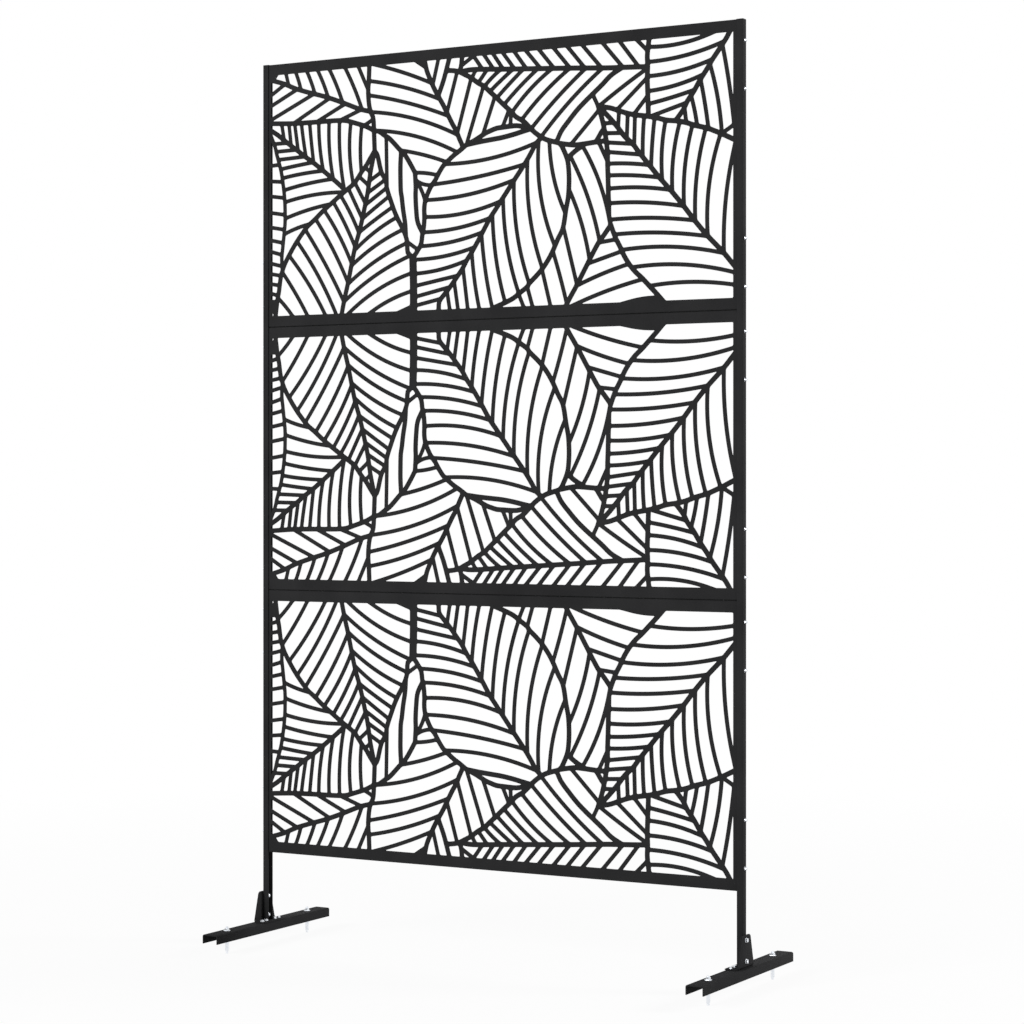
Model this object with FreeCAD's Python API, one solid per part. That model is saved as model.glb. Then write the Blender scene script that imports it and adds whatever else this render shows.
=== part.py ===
import FreeCAD, Part
import math
import os

os.makedirs("parts", exist_ok=True)

# Overall sizes in millimetres
screen_wide = 1203.0
panel_pitch = 600.0
fit_gap = 0.3

# Panels
sheet_thick = 2.0
panel_deep = 15.0
left_band = 10.7
right_band = 6.2
level_band = 25.0

# Lines of the leaf pattern
rib_wide = 10.0
vein_wide = 8.0
trunk_wide = 17.5
strip_wide = 8.0
join_reach = 1.2
line_reach = 60.0
bend_least = 1.0
corner_least = 14.5
opening_least = 5.5

# Posts and their caps
post_side = 16.0
post_wall = 1.5
cap_thick = 1.5
cap_plug = 8.0

# Feet
foot_wide = 40.0
foot_high = 20.0
foot_long = 446.0
foot_wall = 2.5
foot_lift = 30.0

# Brackets
bracket_thick = 3.0
bracket_top_wide = 44.0
bracket_base_wide = 80.0
bracket_high = 68.5
bracket_inset = 1.0
panel_lift = 158.0

# Bracket bolts and base bolts
bolt_head_wide = 8.0
bolt_head_high = 4.0
bracket_nut_wide = 7.0
bracket_nut_high = 3.0
bolt_low_lift = 14.5
bolt_high_lift = 58
base_bolt_near = 16.5
base_bolt_far = 32.0
base_bolt_inward = 15.0

# Floor anchors
anchor_inset = 64.0
stud_wide = 6.0
stud_above_nut = 3.5
washer_wide = 15.5
washer_thick = 1.5
nut_wide = 10.0
nut_high = 5.0
sleeve_wide = 8.0
sleeve_low = 5.0

# Ribs of the leaf pattern: which share runs along the rib, then its points across and up
rib_shares = {
    "top": ("u", ((0, 1), (1, 1))),
    "bottom": ("u", ((0, 0), (1, 0))),
    "left": ("v", ((0, 0), (0, 1))),
    "right": ("v", ((1, 0), (1, 1))),
    "trunk": ("v", (("top", .327), (.327, .9), (.3255, .785))),
    "stem": ("v", ((.2385, .345), (.237, .262))),
    "tall_left": ("v", (("top", .006), (.0105, .933), (.0139, .9), (.0182, .842), (.0225, .813),
                        (.0286, .784), (.0395, .747), (.0538, .704), (.0695, .664), (.083, .634),
                        (.098, .611), (.1205, .573), (.143, .54), (.1604, .5145), (.176, .493),
                        (.1916, .471), (.2003, .449), (.2098, .4236), (.2193, .402), (.2263, .38),
                        (.2385, .345))),
    "tall_mid": ("v", (("top", .1625), (.169, .94), (.1777, .871), (.1864, .791), (.1942, .7255),
                       (.2029, .671), (.2098, .62), (.2159, .569), (.2219, .518), (.2263, .4636),
                       (.2289, .431), (.2385, .345))),
    "tall_right": ("v", ((.3255, .785), (.3147, .769), (.3121, .718), (.3043, .6745), (.2922, .631),
                         (.2835, .5945), (.2765, .558), (.2713, .53), (.267, .5036), (.2635, .467),
                         (.2549, .438), (.2505, .409), (.2445, .362), (.2385, .345))),
    "strip": ("v", (("tall_left", .815), (.0208, .76), (.0231, .718), (.026, .667), (.0286, .616),
                    (.0286, .5545), (.0277, .518), (.0251, .471), (.0208, .416), (.0165, .38),
                    (.0087, .329), (.0052, .3), ("left", .2745))),
    "left_mid": ("v", (("left", .2345), (.0113, .249), (.0269, .2735), (.0459, .302), (.0598, .3218),
                       (.0737, .3436), (.091, .3673), (.1136, .4018), (.1361, .438), (.1517, .4636),
                       (.1621, .4818), ("tall_left", .499))),
    "left_base": ("u", (("left", .2), (.0459, .206), (.09, .208), (.15, .209), (.1725, .2127),
                        (.1933, .2255), (.2072, .2345), (.2193, .2436), (.237, .262))),
    "low_left": ("v", ((.237, .262), (.2349, .209), (.2289, .1836), (.2254, .151), (.2237, .1),
                       (.2254, .045), ("bottom", .2263))),
    "corner_mid": ("u", (("left", .022), (.0252, .038), (.0546, .0636), (.0876, .0855), (.124, .1073),
                         (.1604, .1345), (.1933, .1618), (.2107, .1745), ("low_left", .1836))),
    "slim_base": ("u", ((.237, .262), (.2488, .268), (.2609, .285), (.2713, .298), (.2817, .318),
                        (.2939, .344), (.3026, .36), (.3095, .376), (.3199, .409), (.3303, .4455))),
    "centre_left": ("v", ((.3255, .785), (.3303, .776), (.339, .751), (.3442, .7327), (.3468, .6964),
                          (.3502, .6636), (.3514, .627), (.3511, .591), (.3537, .558), (.3606, .5255),
                          (.3667, .5036), (.3754, .4818), (.384, .4527), (.3944, .4236), (.4031, .409),
                          (.417, .387), (.4309, .369), (.4447, .349))),
    "slim_right": ("v", (("centre_left", .69), (.3364, .6455), (.3329, .591), (.3315, .536),
                         (.332, .5036), (.3303, .4455))),
    "slim_mid": ("v", (("tall_right", .7), (.3078, .6455), (.3034, .591), (.3, .536), (.2982, .518),
                       (.2974, .4636), (.2974, .409), ("slim_base", .2991))),
    "centre_mid": ("v", (("top", .3832), (.3849, .9673), (.3944, .9436), (.4083, .9127), (.4205, .8818),
                         (.4352, .8436), (.4465, .8055), (.4569, .7764), (.4707, .7327), (.4794, .7036),
                         (.4967, .6455), (.5089, .6127), (.5193, .5836), (.5314, .5509), (.5418, .5218),
                         (.554, .489), (.5661, .4564), (.5765, .4273), (.5869, .3945), (.5956, .3655),
                         (.6077, .3425))),
    "centre_right": ("v", (("top", .507), (.5288, .9836), (.547, .9673), (.5609, .9473), (.5765, .9255),
                           (.5817, .911), (.5973, .8818), (.6094, .8564), (.6216, .8236), (.632, .7873),
                           (.6424, .7436), (.6528, .7036), (.6597, .6273), (.6641, .5836), (.6658, .5364),
                           (.6658, .4964), (.6641, .4527), (.6615, .4309), (.6545, .398), (.6459, .371),
                           (.632, .3618), (.6181, .3527), (.6077, .3425))),
    "centre_base": ("u", ((.4447, .349), (.4707, .3418), (.4967, .3364), (.5227, .331), (.5488, .3218),
                          (.5661, .3138), (.5852, .3055))),
    "low_top": ("u", ((.4447, .349), (.4621, .3345), (.4777, .3182), (.4881, .3073), (.5002, .2989),
                      (.5106, .2927), (.5227, .291), (.5401, .289), (.5557, .289), (.5713, .2964),
                      (.5852, .3055))),
    "low_mid": ("v", (("centre_left", .36), (.4352, .3473), (.4291, .3218), (.4231, .2927), (.4135, .26),
                      (.404, .2236), (.3927, .18), (.384, .1509), (.3736, .1145), (.365, .078),
                      (.3572, .0418), (.3537, .0127), ("bottom", .352))),
    "low_foot": ("v", (("low_mid", .145), (.3946, .0818), ("bottom", .4066))),
    "floor_top": ("u", (("low_foot", .0455), (.4153, .049), (.4274, .0545), (.4413, .069), (.4534, .0818),
                        (.4707, .1073), (.4846, .1236), (.495, .1436), (.5072, .1655), (.5262, .2018),
                        (.5401, .2273), (.5522, .2527), (.5696, .2745), (.5852, .3055), (.5938, .3218),
                        (.6077, .3425))),
    "floor_mid": ("u", (("floor_top", .43), (.4534, .052), (.4881, .0556), (.5141, .06), (.5661, .0673),
                        (.6181, .0745), (.6701, .0818), (.7221, .09), (.7516, .0945), (.7863, .098),
                        (.821, .102), ("end_left", .1036))),
    "floor_stem": ("v", (("floor_top", .43), (.4335, .031), ("bottom", .4352))),
    "floor_last": ("u", (("centre_right", .366), (.6485, .3273), (.6658, .2847), (.6832, .2462),
                         (.7005, .2145), (.7173, .1865), (.7352, .1564), (.7534, .1236),
                         ("floor_mid", .7768))),
    "end_left": ("v", (("right_base", .8305), (.8297, .25), (.8288, .2), (.828, .14), (.8288, .1036),
                       (.828, .06), ("bottom", .8314))),
    "wedge_base": ("u", ((.6459, .371), (.6597, .3764), (.6788, .3818), (.6996, .38), (.7221, .3764),
                         ("right_left", .3745))),
    "wedge_foot": ("u", (("centre_right", .432), (.6788, .4055), ("wedge_base", .7005))),
    "wedge_side": ("v", ((.7221, .3764), (.729, .3545), (.736, .333), ("right_left", .3275))),
    "wedge_mid": ("v", (("top", .6606), (.6684, .9727), (.6805, .9327), (.6927, .889), (.7048, .8455),
                        (.7169, .8018), (.7291, .7618), (.7395, .7364), ("right_left", .7))),
    "right_left": ("v", (("top", .8592), (.8453, .969), (.8349, .9473), (.8175, .911), (.8037, .8855),
                         (.7915, .8564), (.7811, .8236), (.7724, .7873), (.7629, .751), (.7551, .711),
                         (.7499, .6782), (.749, .6273), (.7482, .5909), (.7473, .518), (.7464, .4636),
                         (.7464, .4273), (.7447, .391), (.7421, .3545), (.7377, .311), (.7334, .278),
                         (.7273, .24))),
    "right_mid": ("v", (("right", .8745), (.9805, .8273), (.9493, .762), (.9216, .6964), (.9008, .642),
                        (.8765, .5836), (.8539, .5327), (.8331, .482), (.8106, .427), (.7985, .3945),
                        (.7828, .3655), (.7672, .3255), (.7516, .289), (.7378, .26), (.7273, .24))),
    "right_base": ("u", ((.7273, .24), (.7516, .249), (.769, .2618), (.7863, .2745), (.8037, .2836),
                         (.8245, .2909), (.8453, .3), (.8661, .3127), (.8904, .32), (.9077, .329),
                         (.925, .3418), (.9476, .3545), (.9649, .369), (.977, .38), ("right", .4036))),
    "end_mid": ("v", (("right_base", .885), (.9008, .278), (.9094, .2455), (.9216, .2127), (.9337, .1727),
                      (.9476, .1327), (.958, .1), (.9753, .0527), (.9857, .0236), ("bottom", .9926))),
}

# Veins: the ribs they start and end on, then the share along each and how far the vein bows
vein_shares = (
    ("left", "tall_left", ((.94, .94, 0), (.9085, .9155, 0), (.868, .8737, 0), (.8265, .8337, 0))),
    ("left", "strip", ((.7835, .7945, 0), (.7347, .7475, 0), (.687, .698, 0), (.633, .6435, 0),
                       (.572, .582, 0), (.5035, .512, 0), (.4403, .445, 0), (.3745, .3727, 0))),
    ("tall_left", "top", ((.9245, .0456, -.02), (.818, .081, -.017), (.7515, .1231, -.027),
                          (.695, .1488, -.03))),
    ("tall_left", "tall_mid", ((.6475, .953, -.0175), (.6065, .8765, -.025), (.5723, .799, -.03),
                               (.541, .7315, -.02), (.516, .675, -.024), (.4905, .618, 0),
                               (.4685, .557, 0), (.444, .484, 0), (.409, .431, 0))),
    ("top", "trunk", ((.3005, .98, 0), (.2298, .9195, -.042), (.1788, .847, -.055))),
    ("tall_mid", "tall_right", ((.9535, .778, -.044), (.882, .726, -.042), (.808, .671, -.041),
                                (.7465, .62, -.038), (.673, .577, -.01), (.618, .533, -.005),
                                (.563, .498, 0), (.514, .465, 0), (.4665, .433, 0))),
    ("strip", "tall_left", ((.663, .626, -.03), (.5977, .5495, -.024), (.53, .5045, -.035))),
    ("strip", "left_mid", ((.4802, .4472, -.02), (.4296, .411, -.017), (.392, .3734, -.007),
                           (.352, .3468, 0), (.318, .316, 0), (.285, .285, 0))),
    ("left_mid", "left_base", ((.273, .0205, 0), (.298, .0378, 0), (.322, .0515, 0), (.3505, .0675, -.01),
                               (.3755, .087, -.006), (.411, .1087, -.03), (.449, .133, -.036),
                               (.493, .1575, -.034))),
    ("tall_left", "left_base", ((.4745, .1838, -.048), (.428, .209, -.032))),
    ("left", "bottom", ((.022, .0075, 0),)),
    ("left", "corner_mid", ((.0765, .0286, 0), (.1225, .058, 0), (.18, .0975, 0))),
    ("left_base", "corner_mid", ((.0485, .1345, 0), (.1032, .171, 0), (.158, .208, 0))),
    ("corner_mid", "bottom", ((.0373, .0312, 0), (.0668, .055, .02), (.0997, .0815, .02),
                              (.1309, .107, .02), (.1647, .1344, .02), (.2098, .1711, .02))),
    ("low_left", "bottom", ((.096, .2018, 0),)),
    ("left_base", "low_left", ((.214, .2164, 0),)),
    ("tall_right", "slim_base", ((.502, .265, 0),)),
    ("tall_right", "centre_left", ((.7215, .7565, 0),)),
    ("centre_left", "slim_right", ((.563, .475, .055),)),
    ("slim_right", "centre_left", ((.475, .5, .08), (.445, .462, -.03))),
    ("slim_base", "centre_left", ((.2977, .412, -.023), (.238, .3765, -.049))),
    ("trunk", "centre_mid", ((.9824, .9568, 0), (.9467, .9115, 0), (.9025, .8673, 0), (.852, .8088, .039),
                             (.795, .7575, .04))),
    ("centre_left", "centre_mid", ((.7425, .7, .037), (.687, .645, .04), (.6255, .5815, .05),
                                   (.5585, .501, .04), (.498, .4428, .02), (.4195, .3605, .046))),
    ("centre_mid", "top", ((.927, .4078, 0), (.889, .426, 0), (.8375, .4476, 0), (.777, .4727, .02),
                           (.708, .5012, .022))),
    ("centre_mid", "centre_right", ((.631, .983, .035), (.568, .95, .045), (.5036, .912, .05),
                                    (.423, .856, .055), (.353, .7706, .067))),
    ("centre_right", "centre_right", ((.357, .645, .055),)),
    ("top", "centre_right", ((.5687, .951, 0), (.588, .9245, 0), (.6262, .8585, 0))),
    ("wedge_mid", "centre_right", ((.998, .789, .01), (.9255, .6964, 0), (.8309, .5509, .037))),
    ("wedge_mid", "wedge_foot", ((.76, .668, .038),)),
    ("right_left", "wedge_foot", ((.68, .694, .047),)),
    ("right_left", "wedge_base", ((.455, .7275, 0),)),
    ("top", "right_left", ((.68, .9148, -.02), (.79, .988, -.035))),
    ("wedge_mid", "right_left", ((.93, .854, -.02), (.8455, .8036, 0), (.766, .757, 0))),
    ("right_left", "right", ((.942, .9502, -.036), (.868, .9032, -.046))),
    ("right_left", "right_mid", ((.799, .831, -.042), (.738, .764, -.027), (.68, .7013, -.024),
                                 (.6166, .6445, -.0265), (.56, .58, -.028), (.509, .53, -.02),
                                 (.4636, .48, -.02), (.418, .437, 0), (.381, .394, 0), (.345, .349, 0),
                                 (.307, .307, 0))),
    ("right_mid", "right_base", ((.328, .77, 0), (.372, .788, 0), (.401, .8028, 0), (.4475, .8218, -.017),
                                 (.4885, .843, -.013), (.5434, .8653, -.04), (.589, .8941, -.045),
                                 (.646, .9194, -.0445), (.7045, .946, -.045), (.763, .9753, -.055))),
    ("right_mid", "right", ((.8298, .4516, -.034),)),
    ("right_base", "right", ((.977, .3516, 0),)),
    ("right_base", "end_mid", ((.9068, .27, 0), (.9285, .227, .02), (.951, .168, .01), (.9775, .113, .03),
                               (.8335, .2527, 0))),
    ("right", "end_mid", ((.27, .044, .022),)),
    ("end_left", "end_mid", ((.2459, .206, .012), (.1966, .15, .04), (.1396, .0962, .04),
                             (.085, .0327, .041))),
    ("end_left", "bottom", ((.0273, .9528, .05), (.042, .8083, 0))),
    ("right_base", "end_left", ((.8, .2135, 0), (.7654, .1443, 0))),
    ("low_left", "low_mid", ((.186, .308, -.045), (.117, .229, -.025), (.059, .159, -.03))),
    ("bottom", "low_mid", ((.247, .0915, -.018),)),
    ("low_mid", "bottom", ((.027, .3355, 0), (.1, .3823, 0))),
    ("low_mid", "floor_top", ((.2146, .4247, 0), (.3, .4554, 0))),
    ("low_top", "floor_top", ((.4445, .4825, 0), (.4806, .5074, 0), (.5235, .538, 0), (.541, .542, 0))),
    ("floor_mid", "bottom", ((.4803, .4612, 0), (.5045, .4843, 0), (.5253, .5042, 0), (.55, .5256, 0),
                             (.5755, .5505, 0), (.606, .5753, 0), (.6345, .6031, 0), (.6683, .6346, 0),
                             (.6995, .6638, 0), (.7342, .6953, 0), (.7785, .7378, 0), (.8108, .7729, 0))),
    ("floor_top", "floor_mid", ((.4565, .466, 0), (.4707, .4908, 0), (.4843, .5206, -.03),
                                (.4961, .5468, -.01), (.5112, .5692, -.008), (.5266, .6, -.018),
                                (.5439, .6309, -.04), (.5648, .668, -.032), (.5853, .7016, -.02),
                                (.6065, .7365, -.028))),
    ("floor_last", "right_left", ((.7152, .24, 0),)),
    ("wedge_base", "right_left", ((.669, .252, 0),)),
    ("right_left", "end_left", ((.24, .1085, -.011),)),
    ("floor_stem", "bottom", ((.033, .459, 0),)),
)

# Places inside the pattern where the sheet is left whole
solid_shares = ((.003, .97), (.32, .995), (.838, .998))

# Derived sizes
panel_wide = screen_wide - 2 * (post_side + fit_gap)
panel_high = panel_pitch - fit_gap
field_wide = panel_wide - left_band - right_band
field_high = panel_high - 2 * level_band
foot_centre = (screen_wide - post_side) / 2
foot_top = foot_lift + foot_high
flange_top = foot_top + bracket_thick
panel_low = foot_top + panel_lift
post_top = panel_low + 3 * panel_pitch - fit_gap
post_out = screen_wide / 2
anchor_reach = foot_long / 2 - anchor_inset
half_post = post_side / 2

rib_widths = {
    "trunk": trunk_wide,
    "strip": strip_wide,
    "top": 0,
    "bottom": 0,
    "left": 0,
    "right": 0,
}
rib_places = {}


def runs_along(rib):
    """Index of the share that runs along a rib."""
    return 0 if rib_shares[rib][0] == "u" else 1


def rib_points(rib):
    """A rib's points in order; an end given by another rib's name lies on that rib."""
    if rib not in rib_places:
        points = []
        for first, second in rib_shares[rib][1]:
            on_rib = isinstance(first, str)
            points.append(place_on(first, second) if on_rib else (first, second))
        rib_places[rib] = sorted(points, key=lambda point: point[runs_along(rib)])
    return rib_places[rib]


def place_on(rib, share):
    """The point of a rib's smooth curve at a share along it."""
    points = rib_points(rib)
    run = runs_along(rib)
    side = 1 - run
    share = min(max(share, points[0][run]), points[-1][run])
    step = 0
    while step < len(points) - 2 and points[step + 1][run] <= share:
        step += 1

    def slope(index):
        before = points[max(index - 1, 0)]
        after = points[min(index + 1, len(points) - 1)]
        return (after[side] - before[side]) / (after[run] - before[run])

    start, end = points[step], points[step + 1]
    stride = end[run] - start[run]
    part = (share - start[run]) / stride
    fade = part * part * (3 - 2 * part)
    across = start[side] * (1 - fade) + end[side] * fade
    across += part * (1 - part) ** 2 * stride * slope(step)
    across -= part * part * (1 - part) * stride * slope(step + 1)
    return (share, across) if run == 0 else (across, share)


def on_field(point):
    """A share point's place on the panel, from the panel's left lower corner."""
    return left_band + point[0] * field_wide, level_band + point[1] * field_high


def vein_path(start, end, bow):
    """A vein between two places, with a middle bend where it bows enough."""
    wide, high = end[0] - start[0], end[1] - start[1]
    if abs(bow) * math.hypot(wide, high) < bend_least:
        return [start, end]
    middle = (start[0] + end[0]) / 2 - high * bow, (start[1] + end[1]) / 2 + wide * bow
    return [start, middle, end]


def pattern_lines():
    """Every stretch between two crossings: its name, its path and half its width."""
    crossings = {rib: {} for rib in rib_shares}

    def add_crossing(rib, point):
        share = point[runs_along(rib)]
        reach = join_reach / field_wide
        if all(abs(known - share) > reach for known in crossings[rib]):
            crossings[rib][share] = point

    shared = {}
    for rib in rib_shares:
        for point in rib_points(rib):
            shared.setdefault(point, []).append(rib)
    for point, ribs in shared.items():
        for rib in ribs:
            if len(ribs) > 1:
                add_crossing(rib, point)
    for rib in rib_shares:
        for point in (rib_points(rib)[0], rib_points(rib)[-1]):
            add_crossing(rib, point)
        for first, second in (rib_shares[rib][1][0], rib_shares[rib][1][-1]):
            if isinstance(first, str):
                add_crossing(first, place_on(first, second))
    lines = []
    for first, second, rows in vein_shares:
        for row, (start_share, end_share, bow) in enumerate(rows):
            start, end = place_on(first, start_share), place_on(second, end_share)
            add_crossing(first, start)
            add_crossing(second, end)
            path = vein_path(on_field(start), on_field(end), bow)
            lines.append(((first, second, row), path, vein_wide / 2))
    for rib in rib_shares:
        run = runs_along(rib)
        shares = sorted(crossings[rib])
        for low, high in zip(shares, shares[1:]):
            points = [point for point in rib_points(rib) if low < point[run] < high]
            points = [crossings[rib][low]] + points + [crossings[rib][high]]
            path = [on_field(point) for point in points]
            lines.append((rib, path, rib_widths.get(rib, rib_wide) / 2))
    return lines


def pattern_loops():
    """The closed loops of stretches around each opening of the pattern."""
    knots = []

    def knot(point):
        for index, known in enumerate(knots):
            if math.dist(point, known) < join_reach:
                return index
        knots.append(point)
        return len(knots) - 1

    ways = []
    for name, path, half in pattern_lines():
        start, end = knot(path[0]), knot(path[-1])
        if start != end:
            ways.append((start, end, name, path, half))
            ways.append((end, start, name, path[::-1], half))
    leaving = {}
    for index, (start, end, name, path, half) in enumerate(ways):
        turn = math.atan2(path[1][1] - path[0][1], path[1][0] - path[0][0])
        leaving.setdefault(start, []).append((turn, index))
    for turns in leaving.values():
        turns.sort()
    used = set()
    loops = []
    for first in range(len(ways)):
        loop = []
        index = first
        while index not in used:
            used.add(index)
            loop.append(ways[index])
            around = [way for turn, way in leaving[ways[index][1]]]
            index = around[around.index(index ^ 1) - 1]
        if loop and area([point for way in loop for point in way[3][:-1]]) > 0:
            loops.append(loop)
    return loops


def area(points):
    """Signed area of an outline."""
    pairs = zip(points, points[1:] + points[:1])
    return sum(start[0] * end[1] - end[0] * start[1] for start, end in pairs) / 2


def join_stretches(loop):
    """The loop's stretches joined where they follow one line."""
    sides = []
    for start, end, name, path, half in loop:
        if sides and sides[-1][0] == name:
            sides[-1][1].extend(path[1:])
        else:
            sides.append([name, list(path), half])
    if len(sides) > 1 and sides[0][0] == sides[-1][0]:
        last = sides.pop()
        sides[0][1] = last[1] + sides[0][1][1:]
    return sides


def shifted(path, shift):
    """A path moved to its left, with both ends drawn out straight."""
    moved = []
    for start, end in zip(path, path[1:]):
        long = math.dist(start, end)
        across = (start[1] - end[1]) * shift / long, (end[0] - start[0]) * shift / long
        moved.append([(start[0] + across[0], start[1] + across[1]),
                      (end[0] + across[0], end[1] + across[1])])
    points = [drawn_out(moved[0][1], moved[0][0])]
    for before, after in zip(moved, moved[1:]):
        points.append(meeting(before, after) or after[0])
    points.append(drawn_out(moved[-1][0], moved[-1][1]))
    return points


def drawn_out(start, end):
    """The end of a straight stretch moved on past its end."""
    more = line_reach / math.dist(start, end)
    return end[0] + (end[0] - start[0]) * more, end[1] + (end[1] - start[1]) * more


def meeting(first, second):
    """Where two straight lines meet, or nothing where they run level."""
    wide, high = first[1][0] - first[0][0], first[1][1] - first[0][1]
    other_wide, other_high = second[1][0] - second[0][0], second[1][1] - second[0][1]
    turn = wide * other_high - high * other_wide
    if abs(turn) < math.hypot(wide, high) * math.hypot(other_wide, other_high) / 1e6:
        return None
    gap = second[0][0] - first[0][0], second[0][1] - first[0][1]
    part = (gap[0] * other_high - gap[1] * other_wide) / turn
    return first[0][0] + part * wide, first[0][1] + part * high


def path_crossing(first, second, corner):
    """The crossing of two paths nearest to a corner, and how far along each it lies."""
    best = None
    for index, start in enumerate(first[:-1]):
        wide, high = first[index + 1][0] - start[0], first[index + 1][1] - start[1]
        for other, begin in enumerate(second[:-1]):
            across, up = second[other + 1][0] - begin[0], second[other + 1][1] - begin[1]
            turn = wide * up - high * across
            if turn == 0:
                continue
            gap = begin[0] - start[0], begin[1] - start[1]
            part = (gap[0] * up - gap[1] * across) / turn
            other_part = (gap[0] * high - gap[1] * wide) / turn
            if 0 <= part <= 1 and 0 <= other_part <= 1:
                place = start[0] + part * wide, start[1] + part * high
                away = math.dist(place, corner)
                if best is None or away < best[0]:
                    best = (away, place, index + part, other + other_part)
    return best


def opening(loop):
    """The outline left open inside a loop once every line has its width."""
    sides = []
    for name, path, half in join_stretches(loop):
        sides.append((path[0], path[-1], shifted(path, half)))

    def side_long(index):
        return math.dist(sides[index][0], sides[index][1])

    while len(sides) > 1:
        meets = []
        lost = []
        for index, side in enumerate(sides):
            after = (index + 1) % len(sides)
            meets.append(path_crossing(side[2], sides[after][2], side[1]))
            if meets[-1] is None:
                lost.append(min(index, after, key=side_long))
        if not lost:
            for index in range(len(sides)):
                if meets[index][2] <= meets[index - 1][3]:
                    lost.append(index)
            lost.sort(key=side_long)
        if lost:
            sides.pop(lost[0])
            continue
        outline = []
        for index, side in enumerate(sides):
            outline.append(meets[index - 1][1])
            first = math.floor(meets[index - 1][3]) + 1
            last = math.ceil(meets[index][2])
            outline.extend(side[2][first:last])
        return outline
    return None


def fewer_corners(outline):
    """The outline without the corners that hardly change it."""
    while len(outline) > 3:
        turns = []
        for index, corner in enumerate(outline):
            ahead = outline[(index + 1) % len(outline)]
            turns.append((abs(area([outline[index - 1], corner, ahead])), index))
        smallest, index = min(turns)
        if smallest > corner_least ** 2:
            break
        outline = outline[:index] + outline[index + 1:]
    return outline


def holds(outline, point):
    """Whether an outline goes round a point."""
    odd = False
    for start, end in zip(outline, outline[1:] + outline[:1]):
        if (start[1] > point[1]) != (end[1] > point[1]):
            part = (point[1] - start[1]) / (end[1] - start[1])
            odd = odd != (point[0] < start[0] + (end[0] - start[0]) * part)
    return odd


def pattern_openings():
    """The outlines of every opening cut in a panel."""
    closed = [on_field(point) for point in solid_shares]
    outlines = []
    for loop in pattern_loops():
        outline = opening(loop)
        if outline is None or area(outline) < opening_least ** 2:
            continue
        if not any(holds(outline, point) for point in closed):
            outlines.append(fewer_corners(outline))
    return outlines


def box(left, right, front, back, low, high):
    """A block between six faces."""
    corner = FreeCAD.Vector(left, front, low)
    return Part.makeBox(right - left, back - front, high - low, corner)


def upright_wire(points, lift):
    """A closed wire on the panel's front, its points measured from the lower left corner."""
    left = -panel_wide / 2
    corners = [FreeCAD.Vector(left + across, -half_post, lift + up) for across, up in points]
    return Part.makePolygon(corners + corners[:1])


def prism(sides, across, centre, run):
    """A straight bar with level sides, from a centre along a run."""
    long = run.Length
    radius = across / 2 / math.cos(math.pi / sides)
    corners = []
    for side in range(sides):
        turn = (side + 0.5) * 2 * math.pi / sides
        corners.append(FreeCAD.Vector(radius * math.cos(turn), radius * math.sin(turn), 0))
    face = Part.Face(Part.makePolygon(corners + corners[:1]))
    bar = face.extrude(FreeCAD.Vector(0, 0, long))
    turn = FreeCAD.Rotation(FreeCAD.Vector(0, 0, 1), run)
    bar.Placement = FreeCAD.Placement(centre, turn)
    return bar


def panel(lift, upside_down, openings):
    """A tray of sheet with the leaf pattern cut in its face and four returns behind."""
    corners = [(0, 0), (panel_wide, 0), (panel_wide, panel_high), (0, panel_high)]
    wires = [upright_wire(corners, lift)]
    for outline in openings:
        if upside_down:
            outline = [(across, panel_high - up) for across, up in reversed(outline)]
        wires.append(upright_wire(outline, lift))
    face = Part.makeFace(wires, "Part::FaceMakerBullseye")
    sheet = face.extrude(FreeCAD.Vector(0, sheet_thick, 0))
    left, right = -panel_wide / 2, panel_wide / 2
    front, back = sheet_thick - half_post, panel_deep - half_post
    high = lift + panel_high
    returns = box(left, right, front, back, lift, high)
    returns = returns.cut(box(left + sheet_thick, right - sheet_thick, front, back,
                              lift + sheet_thick, high - sheet_thick))
    return sheet.fuse(returns).removeSplitter()


def post(side):
    """A square tube from the bracket to the underside of its cap."""
    tube = box(-half_post, half_post, -half_post, half_post, flange_top, post_top - cap_thick)
    inner = half_post - post_wall
    tube = tube.cut(box(-inner, inner, -inner, inner, flange_top, post_top - cap_thick))
    tube.translate(FreeCAD.Vector(side * foot_centre, 0, 0))
    return tube


def post_cap(side):
    """A flat cap with a plug that goes down inside the tube."""
    top = box(-half_post, half_post, -half_post, half_post, post_top - cap_thick, post_top)
    inner = half_post - post_wall - fit_gap
    plug_low = post_top - cap_thick - cap_plug
    cap = top.fuse(box(-inner, inner, -inner, inner, plug_low, post_top - cap_thick))
    cap.translate(FreeCAD.Vector(side * foot_centre, 0, 0))
    return cap


def anchor_places(side):
    """The two anchors of a foot."""
    return [(side * foot_centre, -anchor_reach), (side * foot_centre, anchor_reach)]


def foot(side):
    """A channel with its open side down, bored for the anchors."""
    half_wide, half_long = foot_wide / 2, foot_long / 2
    channel = box(-half_wide, half_wide, -half_long, half_long, foot_lift, foot_top)
    inner = half_wide - foot_wall
    channel = channel.cut(box(-inner, inner, -half_long, half_long,
                              foot_lift, foot_top - foot_wall))
    channel.translate(FreeCAD.Vector(side * foot_centre, 0, 0))
    for across, along in anchor_places(side):
        hole = prism(6, stud_wide + 2 * fit_gap, FreeCAD.Vector(across, along, foot_lift),
                     FreeCAD.Vector(0, 0, foot_high))
        channel = channel.cut(hole)
    return channel


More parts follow.
